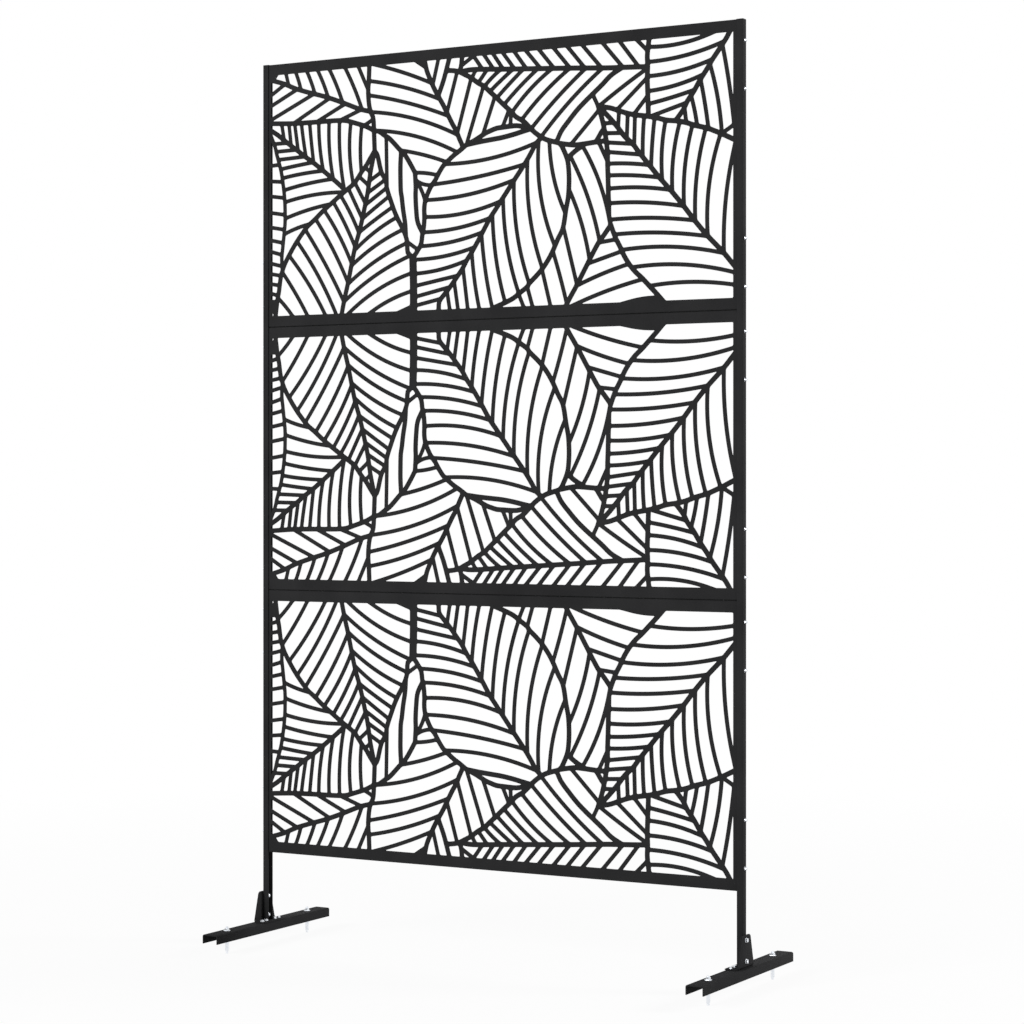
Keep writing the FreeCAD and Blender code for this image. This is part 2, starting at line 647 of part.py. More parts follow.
def bracket(side):
    """A tapered plate outside the post, with a flange under it."""
    half_top, half_base = bracket_top_wide / 2, bracket_base_wide / 2
    outside = post_out + bracket_thick
    corners = [(-half_base, foot_top), (half_base, foot_top), (half_base, flange_top),
               (half_top, foot_top + bracket_high), (-half_top, foot_top + bracket_high),
               (-half_base, flange_top)]
    points = [FreeCAD.Vector(side * outside, along, up) for along, up in corners]
    face = Part.Face(Part.makePolygon(points + points[:1]))
    plate = face.extrude(FreeCAD.Vector(-side * bracket_thick, 0, 0))
    inside = foot_centre - foot_wide / 2 + bracket_inset
    ends = sorted((side * post_out, side * inside))
    flange = box(ends[0], ends[1], -half_base, half_base, foot_top, flange_top)
    return plate.fuse(flange).removeSplitter()


def bracket_bolts(side):
    """Bolt heads outside the plate."""
    heads = []
    for lift in (bolt_low_lift, bolt_high_lift):
        place = FreeCAD.Vector(side * (post_out + bracket_thick), 0, foot_top + lift)
        run = FreeCAD.Vector(side * bolt_head_high, 0, 0)
        heads.append(prism(6, bolt_head_wide, place, run))
    return Part.makeCompound(heads)


def bracket_nuts(side):
    """Nuts on the post's inner side."""
    nuts = []
    for lift in (bolt_low_lift, bolt_high_lift):
        place = FreeCAD.Vector(side * (post_out - post_side), 0, foot_top + lift)
        run = FreeCAD.Vector(-side * bracket_nut_high, 0, 0)
        nuts.append(prism(6, bracket_nut_wide, place, run))
    return Part.makeCompound(nuts)


def base_places(side):
    """The four bolts through a bracket's flange."""
    across = side * (post_out - base_bolt_inward)
    reaches = (-base_bolt_far, -base_bolt_near, base_bolt_near, base_bolt_far)
    return [(across, along) for along in reaches]


def base_bolts(side):
    """Bolt heads on the bracket's flange."""
    heads = []
    for across, along in base_places(side):
        place = FreeCAD.Vector(across, along, flange_top)
        run = FreeCAD.Vector(0, 0, bolt_head_high)
        heads.append(prism(6, bolt_head_wide, place, run))
    return Part.makeCompound(heads)


def anchor_stud(across, along):
    """A round stud from under the floor line to above its nut."""
    top = foot_top + washer_thick + nut_high + stud_above_nut
    return Part.makeCylinder(stud_wide / 2, top, FreeCAD.Vector(across, along, 0))


def ring(sides, outer, across, along, low, high):
    """A washer, nut or sleeve around a stud."""
    run = FreeCAD.Vector(0, 0, high - low)
    place = FreeCAD.Vector(across, along, low)
    hole = prism(6, stud_wide + 2 * fit_gap, place, run)
    return prism(sides, outer, place, run).cut(hole)


def save(name, shape):
    """One STEP file for each named piece."""
    shape.exportStep("parts/" + name + ".step")


def build():
    """Every piece of the screen."""
    openings = pattern_openings()
    save("lower_panel", panel(panel_low, False, openings))
    save("middle_panel", panel(panel_low + panel_pitch, False, openings))
    save("upper_panel", panel(panel_low + 2 * panel_pitch, True, openings))
    for name, side in (("left", -1), ("right", 1)):
        save(name + "_post", post(side))
        save(name + "_post_cap", post_cap(side))
        save(name + "_foot", foot(side))
        save(name + "_bracket", bracket(side))
        save(name + "_bracket_bolts", bracket_bolts(side))
        save(name + "_bracket_nuts", bracket_nuts(side))
        save(name + "_base_bolts", base_bolts(side))
        for end, (across, along) in zip(("front", "rear"), anchor_places(side)):
            anchor = name + "_" + end + "_anchor"
            save(anchor + "_stud", anchor_stud(across, along))
            low, high = foot_top, foot_top + washer_thick
            save(anchor + "_washer", ring(12, washer_wide, across, along, low, high))
            low, high = high, high + nut_high
            save(anchor + "_nut", ring(6, nut_wide, across, along, low, high))
            low, high = sleeve_low, foot_lift
            save(anchor + "_sleeve", ring(6, sleeve_wide, across, along, low, high))


build()
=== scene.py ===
import math

import bmesh
import bpy
from mathutils import Matrix, Vector


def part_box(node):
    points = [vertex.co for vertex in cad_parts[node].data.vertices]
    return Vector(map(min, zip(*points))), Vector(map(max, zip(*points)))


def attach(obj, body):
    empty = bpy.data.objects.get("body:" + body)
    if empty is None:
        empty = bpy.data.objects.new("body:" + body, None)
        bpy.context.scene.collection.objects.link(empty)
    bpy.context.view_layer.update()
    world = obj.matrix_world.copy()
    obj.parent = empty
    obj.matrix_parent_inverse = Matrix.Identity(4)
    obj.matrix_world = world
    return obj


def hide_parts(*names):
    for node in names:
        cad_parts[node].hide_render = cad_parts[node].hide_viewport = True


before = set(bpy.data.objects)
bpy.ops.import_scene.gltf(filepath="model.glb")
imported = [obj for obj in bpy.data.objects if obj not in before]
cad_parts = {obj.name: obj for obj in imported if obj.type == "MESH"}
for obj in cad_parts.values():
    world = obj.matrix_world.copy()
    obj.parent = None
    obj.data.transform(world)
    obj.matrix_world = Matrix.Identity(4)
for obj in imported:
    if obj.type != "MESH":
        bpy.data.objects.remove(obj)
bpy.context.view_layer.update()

# Sizes are in millimetres, and each finished mesh is brought to metres once
metre = 0.001

# Merging of doubles and edges that count as sharp
merge_reach = 0.002
sharp_least = math.radians(60)
smooth_most = math.radians(32)

# Camera: sensor and lens in millimetres, the rest in metres
camera_sensor = 36
camera_lens = 91.22
camera_reach = 60
camera_shift = -0.0215
camera_place = (2.829, -4.888, 1.036)
camera_heading = (-0.49432, 0.86928, 0)

# Panels
panel_names = ("lower", "middle", "upper")
sheet_thick = 2.0
fold_outer = 3.0
fold_steps = 4
cut_edge = 0.22
return_edge = 0.3
left_band = 10.7
right_band = 6.2
level_band = 25.0
side_tuck = 14.2
face_inset = 2.6
left_reveal = 5.5
pattern_shift = -1.4
face_hole_wide = 5.0
face_hole_across = 8.0
face_hole_down = 28.0
face_hole_steps = 20

# Lines of the leaf pattern
rib_wide = 11.0
vein_wide = 9.0
trunk_wide = 18.4
strip_wide = 9.0
join_reach = 1.2
line_reach = 60.0
crossing_least = 1e-6
curve_step = 7.5
opening_least = 5.5
corner_arm = 5.0
round_share = 0.45
stretch_share = 0.9
tangent_least = 0.01
tip_round = 1.5
open_round = 9.0
corner_steps = 5

# Posts, caps, feet and brackets
post_wall = 1.5
flange_wide = 14.4
hem_wide = 5.0
hem_thick = 2.8
post_round = 1.4
round_steps = 4
post_edge = 0.25
cap_thick = 1.5
cap_round = 0.6
cap_steps = 3
bend_steps = 5
channel_wall = 2.5
channel_round = 4.0
channel_edge = 0.35
bracket_thick = 3.0
bracket_fold = 6.5
bracket_top_wide = 44.0
bracket_top_round = 6.0
bracket_edge = 0.4

# Bolts and screws
nut_across = 8.0
inner_nut_across = 6.6
inner_nut_thick = 10.4
inner_bolt_end = 12.2
bracket_bolt_lifts = (14.5, 58.0)
base_bolt_reaches = (-32.0, -16.5, 16.5, 32.0)
bolt_wide = 5.0
bolt_sides = 16
round_sides = 24
ring_sides = 32
corner_start = 0.96
corner_fall = 0.55
crown_wide = 0.1
crown_ring = 0.95
bore_edge = 0.3
nut_bore_deep = 1.4
bolt_slack = 0.1
bolt_edge_start = 1.0
bolt_sunk = 0.6
tip_taper = 0.5
screw_edge = 0.4
head_recess_wide = 3.4
head_recess_deep = 1.2
washer_edge = 0.2
axis_gap = 0.001
bolt_washer_brim = 1.1
bolt_washer_thick = 0.8
screw_wide = 6.8
screw_proud = 5.0
screw_washer_wide = 7.6
screw_washer_thick = 0.8
screw_recess_wide = 3.2
screw_recess_deep = 1.8
screw_lifts = (47.5, 147.5, 455.5, 555.5)

# Floor anchors
stud_wide = 6.0
thread_pitch = 1.0
thread_deep = 0.5
thread_start = 38.0
thread_sides = 20
tip_high = 0.6
shank_slack = 0.05
cone_foot = 2.6
cone_edge = 0.4
cone_taper = 0.6
washer_slack = 0.2
anchor_bore_deep = 1.0
sleeve_slack = 0.1
sleeve_edge_wide = 0.3
sleeve_edge_high = 0.4
cone_high = 6.0
anchor_nut_across = 10.0

# Floor and world, in metres
floor_reach = 15
floor_drop = 0.001
floor_grey = 0.8
shadow_near = 0.6
shadow_far = 3.5
shadow_level = 0.93
world_light = 0.2

# Ribs of the leaf pattern: which share runs along the rib, then its points across and up
rib_shares = {
    "top": ("u", (0, 1), (1, 1)),
    "bottom": ("u", (0, 0), (1, 0)),
    "left": ("v", (0, 0), (0, 1)),
    "right": ("v", (1, 0), (1, 1)),
    "trunk": ("v", ("top", .327), (.327, .9), (.3255, .785)),
    "stem": ("v", (.2385, .345), (.237, .262)),
    "tall_left": ("v", ("top", .006), (.0105, .933), (.0139, .9), (.0182, .842), (.0225, .813),
        (.0286, .784), (.0395, .747), (.0538, .704), (.0695, .664), (.083, .634), (.098, .611),
        (.1205, .573), (.143, .54), (.1604, .5145), (.176, .493), (.1916, .471), (.2003, .449),
        (.2098, .4236), (.2193, .402), (.2263, .38), (.2385, .345)),
    "tall_mid": ("v", ("top", .1625), (.169, .94), (.1777, .871), (.1864, .791), (.1942, .7255),
        (.2029, .671), (.2098, .62), (.2159, .569), (.2219, .518), (.2263, .4636), (.2289, .431),
        (.2385, .345)),
    "tall_right": ("v", (.3255, .785), (.3147, .769), (.3121, .718), (.3043, .6745), (.2922, .631),
        (.2835, .5945), (.2765, .558), (.2713, .53), (.267, .5036), (.2635, .467), (.2549, .438),
        (.2505, .409), (.2445, .362), (.2385, .345)),
    "strip": ("v", ("tall_left", .815), (.0208, .76), (.0231, .718), (.026, .667), (.0286, .616),
        (.0286, .5545), (.0277, .518), (.0251, .471), (.0208, .416), (.0165, .38), (.0087, .329),
        (.0052, .3), ("left", .2745)),
    "left_mid": ("v", ("left", .2345), (.0113, .249), (.0269, .2735), (.0459, .302), (.0598, .3218),
        (.0737, .3436), (.091, .3673), (.1136, .4018), (.1361, .438), (.1517, .4636), (.1621, .4818),
        ("tall_left", .499)),
    "left_base": ("u", ("left", .2), (.0459, .206), (.09, .208), (.15, .209), (.1725, .2127),
        (.1933, .2255), (.2072, .2345), (.2193, .2436), (.237, .262)),
    "low_left": ("v", (.237, .262), (.2349, .209), (.2289, .1836), (.2254, .151), (.2237, .1),
        (.2254, .045), ("bottom", .2263)),
    "corner_mid": ("u", ("left", .022), (.0252, .038), (.0546, .0636), (.0876, .0855), (.124, .1073),
        (.1604, .1345), (.1933, .1618), (.2107, .1745), ("low_left", .1836)),
    "slim_base": ("u", (.237, .262), (.2488, .268), (.2609, .285), (.2713, .298), (.2817, .318),
        (.2939, .344), (.3026, .36), (.3095, .376), (.3199, .409), (.3303, .4455)),
    "centre_left": ("v", (.3255, .785), (.3303, .776), (.339, .751), (.3442, .7327), (.3468, .6964),
        (.3502, .6636), (.3514, .627), (.3511, .591), (.3537, .558), (.3606, .5255), (.3667, .5036),
        (.3754, .4818), (.384, .4527), (.3944, .4236), (.4031, .409), (.417, .387), (.4309, .369),
        (.4447, .349)),
    "slim_right": ("v", ("centre_left", .69), (.3364, .6455), (.3329, .591), (.3315, .536), (.332, .5036),
        (.3303, .4455)),
    "slim_mid": ("v", ("tall_right", .7), (.3078, .6455), (.3034, .591), (.3, .536), (.2982, .518),
        (.2974, .4636), (.2974, .409), ("slim_base", .2991)),
    "centre_mid": ("v", ("top", .3832), (.3849, .9673), (.3944, .9436), (.4083, .9127), (.4205, .8818),
        (.4352, .8436), (.4465, .8055), (.4569, .7764), (.4707, .7327), (.4794, .7036), (.4967, .6455),
        (.5089, .6127), (.5193, .5836), (.5314, .5509), (.5418, .5218), (.554, .489), (.5661, .4564),
        (.5765, .4273), (.5869, .3945), (.5956, .3655), (.6077, .3425)),
    "centre_right": ("v", ("top", .507), (.5288, .9836), (.547, .9673), (.5609, .9473), (.5765, .9255),
        (.5817, .911), (.5973, .8818), (.6094, .8564), (.6216, .8236), (.632, .7873), (.6424, .7436),
        (.6528, .7036), (.6597, .6273), (.6641, .5836), (.6658, .5364), (.6658, .4964), (.6641, .4527),
        (.6615, .4309), (.6545, .398), (.6459, .371), (.632, .3618), (.6181, .3527), (.6077, .3425)),
    "centre_base": ("u", (.4447, .349), (.4707, .3418), (.4967, .3364), (.5227, .331), (.5488, .3218),
        (.5661, .3138), (.5852, .3055)),
    "low_top": ("u", (.4447, .349), (.4621, .3345), (.4777, .3182), (.4881, .3073), (.5002, .2989),
        (.5106, .2927), (.5227, .291), (.5401, .289), (.5557, .289), (.5713, .2964), (.5852, .3055)),
    "low_mid": ("v", ("centre_left", .36), (.4352, .3473), (.4291, .3218), (.4231, .2927), (.4135, .26),
        (.404, .2236), (.3927, .18), (.384, .1509), (.3736, .1145), (.365, .078), (.3572, .0418),
        (.3537, .0127), ("bottom", .352)),
    "low_foot": ("v", ("low_mid", .145), (.3946, .0818), ("bottom", .4066)),
    "floor_top": ("u", ("low_foot", .0455), (.4153, .049), (.4274, .0545), (.4413, .069), (.4534, .0818),
        (.4707, .1073), (.4846, .1236), (.495, .1436), (.5072, .1655), (.5262, .2018), (.5401, .2273),
        (.5522, .2527), (.5696, .2745), (.5852, .3055), (.5938, .3218), (.6077, .3425)),
    "floor_mid": ("u", ("floor_top", .43), (.4534, .052), (.4881, .0556), (.5141, .06), (.5661, .0673),
        (.6181, .0745), (.6701, .0818), (.7221, .09), (.7516, .0945), (.7863, .098), (.821, .102),
        ("end_left", .1036)),
    "floor_stem": ("v", ("floor_top", .43), (.4335, .031), ("bottom", .4352)),
    "floor_last": ("u", ("centre_right", .366), (.6485, .3273), (.6658, .2847), (.6832, .2462),
        (.7005, .2145), (.7173, .1865), (.7352, .1564), (.7534, .1236), ("floor_mid", .7768)),
    "end_left": ("v", ("right_base", .8305), (.8297, .25), (.8288, .2), (.828, .14), (.8288, .1036),
        (.828, .06), ("bottom", .8314)),
    "wedge_base": ("u", (.6459, .371), (.6597, .3764), (.6788, .3818), (.6996, .38), (.7221, .3764),
        ("right_left", .3745)),
    "wedge_foot": ("u", ("centre_right", .432), (.6788, .4055), ("wedge_base", .7005)),
    "wedge_side": ("v", (.7221, .3764), (.729, .3545), (.736, .333), ("right_left", .3275)),
    "wedge_mid": ("v", ("top", .6606), (.6684, .9727), (.6805, .9327), (.6927, .889), (.7048, .8455),
        (.7169, .8018), (.7291, .7618), (.7395, .7364), ("right_left", .7)),
    "right_left": ("v", ("top", .8592), (.8453, .969), (.8349, .9473), (.8175, .911), (.8037, .8855),
        (.7915, .8564), (.7811, .8236), (.7724, .7873), (.7629, .751), (.7551, .711), (.7499, .6782),
        (.749, .6273), (.7482, .5909), (.7473, .518), (.7464, .4636), (.7464, .4273), (.7447, .391),
        (.7421, .3545), (.7377, .311), (.7334, .278), (.7273, .24)),
    "right_mid": ("v", ("right", .8745), (.9805, .8273), (.9493, .762), (.9216, .6964), (.9008, .642),
        (.8765, .5836), (.8539, .5327), (.8331, .482), (.8106, .427), (.7985, .3945), (.7828, .3655),
        (.7672, .3255), (.7516, .289), (.7378, .26), (.7273, .24)),
    "right_base": ("u", (.7273, .24), (.7516, .249), (.769, .2618), (.7863, .2745), (.8037, .2836),
        (.8245, .2909), (.8453, .3), (.8661, .3127), (.8904, .32), (.9077, .329), (.925, .3418),
        (.9476, .3545), (.9649, .369), (.977, .38), ("right", .4036)),
    "end_mid": ("v", ("right_base", .885), (.9008, .278), (.9094, .2455), (.9216, .2127), (.9337, .1727),
        (.9476, .1327), (.958, .1), (.9753, .0527), (.9857, .0236), ("bottom", .9926)),
}

# Veins: the ribs they start and end on, then the share along each and how far the vein bows
vein_shares = (
    ("left", "tall_left", (.94, .94, 0), (.9085, .9155, 0), (.868, .8737, 0), (.8265, .8337, 0)),
    ("left", "strip", (.7835, .7945, 0), (.7347, .7475, 0), (.687, .698, 0), (.633, .6435, 0),
        (.572, .582, 0), (.5035, .512, 0), (.4403, .445, 0), (.3745, .3727, 0)),
    ("tall_left", "top", (.9245, .0456, -.02), (.818, .081, -.017), (.7515, .1231, -.027),
        (.695, .1488, -.03)),
    ("tall_left", "tall_mid", (.6475, .953, -.0175), (.6065, .8765, -.025), (.5723, .799, -.03),
        (.541, .7315, -.02), (.516, .675, -.024), (.4905, .618, 0), (.4685, .557, 0), (.444, .484, 0),
        (.409, .431, 0)),
    ("top", "trunk", (.3005, .98, 0), (.2298, .9195, -.042), (.1788, .847, -.055)),
    ("tall_mid", "tall_right", (.9535, .778, -.044), (.882, .726, -.042), (.808, .671, -.041),
        (.7465, .62, -.038), (.673, .577, -.01), (.618, .533, -.005), (.563, .498, 0), (.514, .465, 0),
        (.4665, .433, 0)),
    ("strip", "tall_left", (.663, .626, -.03), (.5977, .5495, -.024), (.53, .5045, -.035)),
    ("strip", "left_mid", (.4802, .4472, -.02), (.4296, .411, -.017), (.392, .3734, -.007),
        (.352, .3468, 0), (.318, .316, 0), (.285, .285, 0)),
    ("left_mid", "left_base", (.273, .0205, 0), (.298, .0378, 0), (.322, .0515, 0), (.3505, .0675, -.01),
        (.3755, .087, -.006), (.411, .1087, -.03), (.449, .133, -.036), (.493, .1575, -.034)),
    ("tall_left", "left_base", (.4745, .1838, -.048), (.428, .209, -.032)),
    ("left", "bottom", (.022, .0075, 0)),
    ("left", "corner_mid", (.0765, .0286, 0), (.1225, .058, 0), (.18, .0975, 0)),
    ("left_base", "corner_mid", (.0485, .1345, 0), (.1032, .171, 0), (.158, .208, 0)),
    ("corner_mid", "bottom", (.0373, .0312, 0), (.0668, .055, .02), (.0997, .0815, .02),
        (.1309, .107, .02), (.1647, .1344, .02), (.2098, .1711, .02)),
    ("low_left", "bottom", (.096, .2018, 0)),
    ("left_base", "low_left", (.214, .2164, 0)),
    ("tall_right", "slim_base", (.502, .265, 0)),
    ("tall_right", "centre_left", (.7215, .7565, 0)),
    ("centre_left", "slim_right", (.563, .475, .055)),
    ("slim_right", "centre_left", (.475, .5, .08), (.445, .462, -.03)),
    ("slim_base", "centre_left", (.2977, .412, -.023), (.238, .3765, -.049)),
    ("trunk", "centre_mid", (.9824, .9568, 0), (.9467, .9115, 0), (.9025, .8673, 0), (.852, .8088, .039),
        (.795, .7575, .04)),
    ("centre_left", "centre_mid", (.7425, .7, .037), (.687, .645, .04), (.6255, .5815, .05),
        (.5585, .501, .04), (.498, .4428, .02), (.4195, .3605, .046)),
    ("centre_mid", "top", (.927, .4078, 0), (.889, .426, 0), (.8375, .4476, 0), (.777, .4727, .02),
        (.708, .5012, .022)),
    ("centre_mid", "centre_right", (.631, .983, .035), (.568, .95, .045), (.5036, .912, .05),
        (.423, .856, .055), (.353, .7706, .067)),
    ("centre_right", "centre_right", (.357, .645, .055)),
    ("top", "centre_right", (.5687, .951, 0), (.588, .9245, 0), (.6262, .8585, 0)),
    ("wedge_mid", "centre_right", (.998, .789, .01), (.9255, .6964, 0), (.8309, .5509, .037)),
    ("wedge_mid", "wedge_foot", (.76, .668, .038)),
    ("right_left", "wedge_foot", (.68, .694, .047)),
    ("right_left", "wedge_base", (.455, .7275, 0)),
    ("top", "right_left", (.68, .9148, -.02), (.79, .988, -.035)),
    ("wedge_mid", "right_left", (.93, .854, -.02), (.8455, .8036, 0), (.766, .757, 0)),
    ("right_left", "right", (.942, .9502, -.036), (.868, .9032, -.046)),
    ("right_left", "right_mid", (.799, .831, -.042), (.738, .764, -.027), (.68, .7013, -.024),
        (.6166, .6445, -.0265), (.56, .58, -.028), (.509, .53, -.02), (.4636, .48, -.02), (.418, .437, 0),
        (.381, .394, 0), (.345, .349, 0), (.307, .307, 0)),
    ("right_mid", "right_base", (.328, .77, 0), (.372, .788, 0), (.401, .8028, 0), (.4475, .8218, -.017),
        (.4885, .843, -.013), (.5434, .8653, -.04), (.589, .8941, -.045), (.646, .9194, -.0445),
        (.7045, .946, -.045), (.763, .9753, -.055)),
    ("right_mid", "right", (.8298, .4516, -.034)),
    ("right_base", "right", (.977, .3516, 0)),
    ("right_base", "end_mid", (.9068, .27, 0), (.9285, .227, .02), (.951, .168, .01), (.9775, .113, .03),
        (.8335, .2527, 0)),
    ("right", "end_mid", (.317, .044, .012)),
    ("end_left", "end_mid", (.2459, .206, .012), (.1966, .15, .04), (.1396, .0962, .04),
        (.085, .0327, .041)),
    ("end_left", "bottom", (.0273, .9528, .05), (.042, .8083, 0)),
    ("right_base", "end_left", (.8, .2135, 0), (.7654, .1443, 0)),
    ("low_left", "low_mid", (.186, .308, -.045), (.117, .229, -.025), (.059, .159, -.03)),
    ("bottom", "low_mid", (.247, .0915, -.018)),
    ("low_mid", "bottom", (.027, .3355, 0), (.1, .3823, 0)),
    ("low_mid", "floor_top", (.2146, .4247, 0), (.3, .4554, 0)),
    ("low_top", "floor_top", (.4445, .4825, 0), (.4806, .5074, 0), (.5235, .538, 0), (.541, .542, 0)),
    ("floor_mid", "bottom", (.4803, .4612, 0), (.5045, .4843, 0), (.5253, .5042, 0), (.55, .5256, 0),
        (.5755, .5505, 0), (.606, .5753, 0), (.6345, .6031, 0), (.6683, .6346, 0), (.6995, .6638, 0),
        (.7342, .6953, 0), (.7785, .7378, 0), (.8108, .7729, 0)),
    ("floor_top", "floor_mid", (.4565, .466, 0), (.4707, .4908, 0), (.4843, .5206, -.03),
        (.4961, .5468, -.01), (.5112, .5692, -.008), (.5266, .6, -.018), (.5439, .6309, -.04),
        (.5648, .668, -.032), (.5853, .7016, -.02), (.6065, .7365, -.028)),
    ("floor_last", "right_left", (.7152, .24, 0)),
    ("wedge_base", "right_left", (.669, .252, 0)),
    ("right_left", "end_left", (.24, .1085, -.011)),
    ("floor_stem", "bottom", (.033, .459, 0)),
)

# Places inside the pattern where the sheet is left whole
solid_shares = ((.003, .97), (.32, .995), (.838, .998), (-.0015, .008))


def add_object(name, data):
    """An object of the scene from its mesh, camera, lamp or curve."""
    made = bpy.data.objects.new(name, data)
    bpy.context.scene.collection.objects.link(made)
    return made


def place_camera():
    """A level camera at the photograph's viewing angle."""
    data = bpy.data.cameras.new("camera")
    data.sensor_width = camera_sensor
    data.lens = camera_lens
    data.shift_y = camera_shift
    data.clip_end = camera_reach
    camera = add_object("camera", data)
    camera.location = camera_place
    camera.rotation_euler = Vector(camera_heading).to_track_quat("-Z", "Y").to_euler()
    bpy.context.scene.camera = camera


place_camera()

# Leaf pattern
panel_low, panel_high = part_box("lower_panel")
panel_wide = (panel_high.x - panel_low.x) / metre
panel_tall = (panel_high.z - panel_low.z) / metre
panel_deep = (panel_high.y - panel_low.y) / metre
field_wide = panel_wide - left_band - right_band
field_high = panel_tall - 2 * level_band
tray_wide = panel_wide + 2 * side_tuck
tray_deep = panel_deep - 2 * face_inset
rib_widths = {"trunk": trunk_wide, "strip": strip_wide, "left": -2 * left_reveal,
              "right": 0, "top": 0, "bottom": 0}
rib_places = {}


def runs_along(rib):
    """Index of the share that runs along a rib."""
    return 0 if rib_shares[rib][0] == "u" else 1


def rib_points(rib):
    """A rib's points in order; an end given by another rib's name lies on that rib."""
    if rib not in rib_places:
        points = [place_on(first, second) if isinstance(first, str) else (first, second)
                  for first, second in rib_shares[rib][1:]]
        rib_places[rib] = sorted(points, key=lambda point: point[runs_along(rib)])
    return rib_places[rib]


def place_on(rib, share):
    """The point of a rib's smooth curve at a share along it."""
    points = rib_points(rib)
    run = runs_along(rib)
    side = 1 - run
    share = min(max(share, points[0][run]), points[-1][run])
    step = 0
    while step < len(points) - 2 and points[step + 1][run] <= share:
        step += 1

    def slope(index):
        before, after = points[max(index - 1, 0)], points[min(index + 1, len(points) - 1)]
        return (after[side] - before[side]) / (after[run] - before[run])

    start, end = points[step], points[step + 1]
    stride = end[run] - start[run]
    part = (share - start[run]) / stride
    fade = part * part * (3 - 2 * part)
    across = start[side] * (1 - fade) + end[side] * fade
    across += part * (1 - part) ** 2 * stride * slope(step)
    across -= part * part * (1 - part) * stride * slope(step + 1)
    return (share, across) if run == 0 else (across, share)


def on_field(point):
    """A share point's place on the panel, from the panel's left lower corner."""
    return left_band + point[0] * field_wide, level_band + point[1] * field_high


def curve_steps(start, end):
    """How many straight steps draw a curve between two places."""
    return max(2, math.ceil(math.dist(start, end) / curve_step))


def rib_path(rib, start, end):
    """The smooth line of a rib between two of its crossings."""
    run = runs_along(rib)
    steps = curve_steps(on_field(start), on_field(end))
    shares = [start[run] + (end[run] - start[run]) * step / steps for step in range(1, steps)]
    return [on_field(point) for point in (start, *(place_on(rib, share) for share in shares), end)]


def vein_path(start, end, bow):
    """A vein's gently bowed line between two places."""
    wide, high = end[0] - start[0], end[1] - start[1]
    steps = curve_steps(start, end) if bow else 1
    path = []
    for step in range(steps + 1):
        part = step / steps
        rise = 4 * part * (1 - part) * bow
        path.append((start[0] + wide * part - high * rise, start[1] + high * part + wide * rise))
    return path


def pattern_lines():
    """Every stretch between two crossings: its name, its path and half its width."""
    crossings = {rib: {} for rib in rib_shares}
    reach = join_reach / field_wide

    def add_crossing(rib, point):
        share = point[runs_along(rib)]
        if all(abs(known - share) > reach for known in crossings[rib]):
            crossings[rib][share] = point

    shared = {}
    for rib in rib_shares:
        for point in rib_points(rib):
            shared.setdefault(point, []).append(rib)
    for point, ribs in shared.items():
        if len(ribs) > 1:
            for rib in ribs:
                add_crossing(rib, point)
    for rib, (_, *points) in rib_shares.items():
        add_crossing(rib, rib_points(rib)[0])
        add_crossing(rib, rib_points(rib)[-1])
        for first, second in (points[0], points[-1]):
            if isinstance(first, str):
                add_crossing(first, place_on(first, second))
    lines = []
    for first, second, *rows in vein_shares:
        for row, (start_share, end_share, bow) in enumerate(rows):
            start, end = place_on(first, start_share), place_on(second, end_share)
            add_crossing(first, start)
            add_crossing(second, end)
            path = vein_path(on_field(start), on_field(end), bow)
            lines.append(((first, second, row), path, vein_wide / 2 - cut_edge))
    for rib, known in crossings.items():
        shares = sorted(known)
        for low, high in zip(shares, shares[1:]):
            path = rib_path(rib, known[low], known[high])
            lines.append((rib, path, rib_widths.get(rib, rib_wide) / 2 - cut_edge))
    return lines


def area(points):
    """Signed area of an outline."""
    pairs = zip(points, points[1:] + points[:1])
    return sum(start[0] * end[1] - end[0] * start[1] for start, end in pairs) / 2


def pattern_loops():
    """The closed loops of stretches around each opening of the pattern."""
    knots = []

    def knot(point):
        for index, known in enumerate(knots):
            if math.dist(point, known) < join_reach:
                return index
        knots.append(point)
        return len(knots) - 1

    ways = []
    for name, path, half in pattern_lines():
        start, end = knot(path[0]), knot(path[-1])
        if start != end:
            ways.append((start, end, name, path, half))
            ways.append((end, start, name, path[::-1], half))
    leaving = {}
    for index, (start, _, _, path, _) in enumerate(ways):
        turn = math.atan2(path[1][1] - path[0][1], path[1][0] - path[0][0])
        leaving.setdefault(start, []).append((turn, index))
    for turns in leaving.values():
        turns.sort()
    used = set()
    loops = []
    for first in range(len(ways)):
        loop = []
        index = first
        while index not in used:
            used.add(index)
            loop.append(ways[index])
            around = [way for _, way in leaving[ways[index][1]]]
            index = around[around.index(index ^ 1) - 1]
        if loop and area([point for way in loop for point in way[3][:-1]]) > 0:
            loops.append(loop)
    return loops


def join_stretches(loop):
    """The loop's stretches joined where they follow one line."""
    sides = []
    for _, _, name, path, half in loop:
        if sides and sides[-1][0] == name:
            sides[-1][1].extend(path[1:])
        else:
            sides.append([name, list(path), half])
    if len(sides) > 1 and sides[0][0] == sides[-1][0]:
        last = sides.pop()
        sides[0][1] = last[1] + sides[0][1][1:]
    return sides


def between(start, end, part):
    """The place a share of the way from one place to another."""
    return start[0] + (end[0] - start[0]) * part, start[1] + (end[1] - start[1]) * part


def drawn_out(start, end):
    """The end of a straight stretch moved on past its end."""
    return between(end, start, -line_reach / math.dist(start, end))


def crossing_parts(start, end, begin, stop):
    """How far along each of two straight lines they cross, or nothing where they run level."""
    wide, high = end[0] - start[0], end[1] - start[1]
    across, up = stop[0] - begin[0], stop[1] - begin[1]
    turn = wide * up - high * across
    if abs(turn) <= math.hypot(wide, high) * math.hypot(across, up) * crossing_least:
        return None
    gap = begin[0] - start[0], begin[1] - start[1]
    return (gap[0] * up - gap[1] * across) / turn, (gap[0] * high - gap[1] * wide) / turn


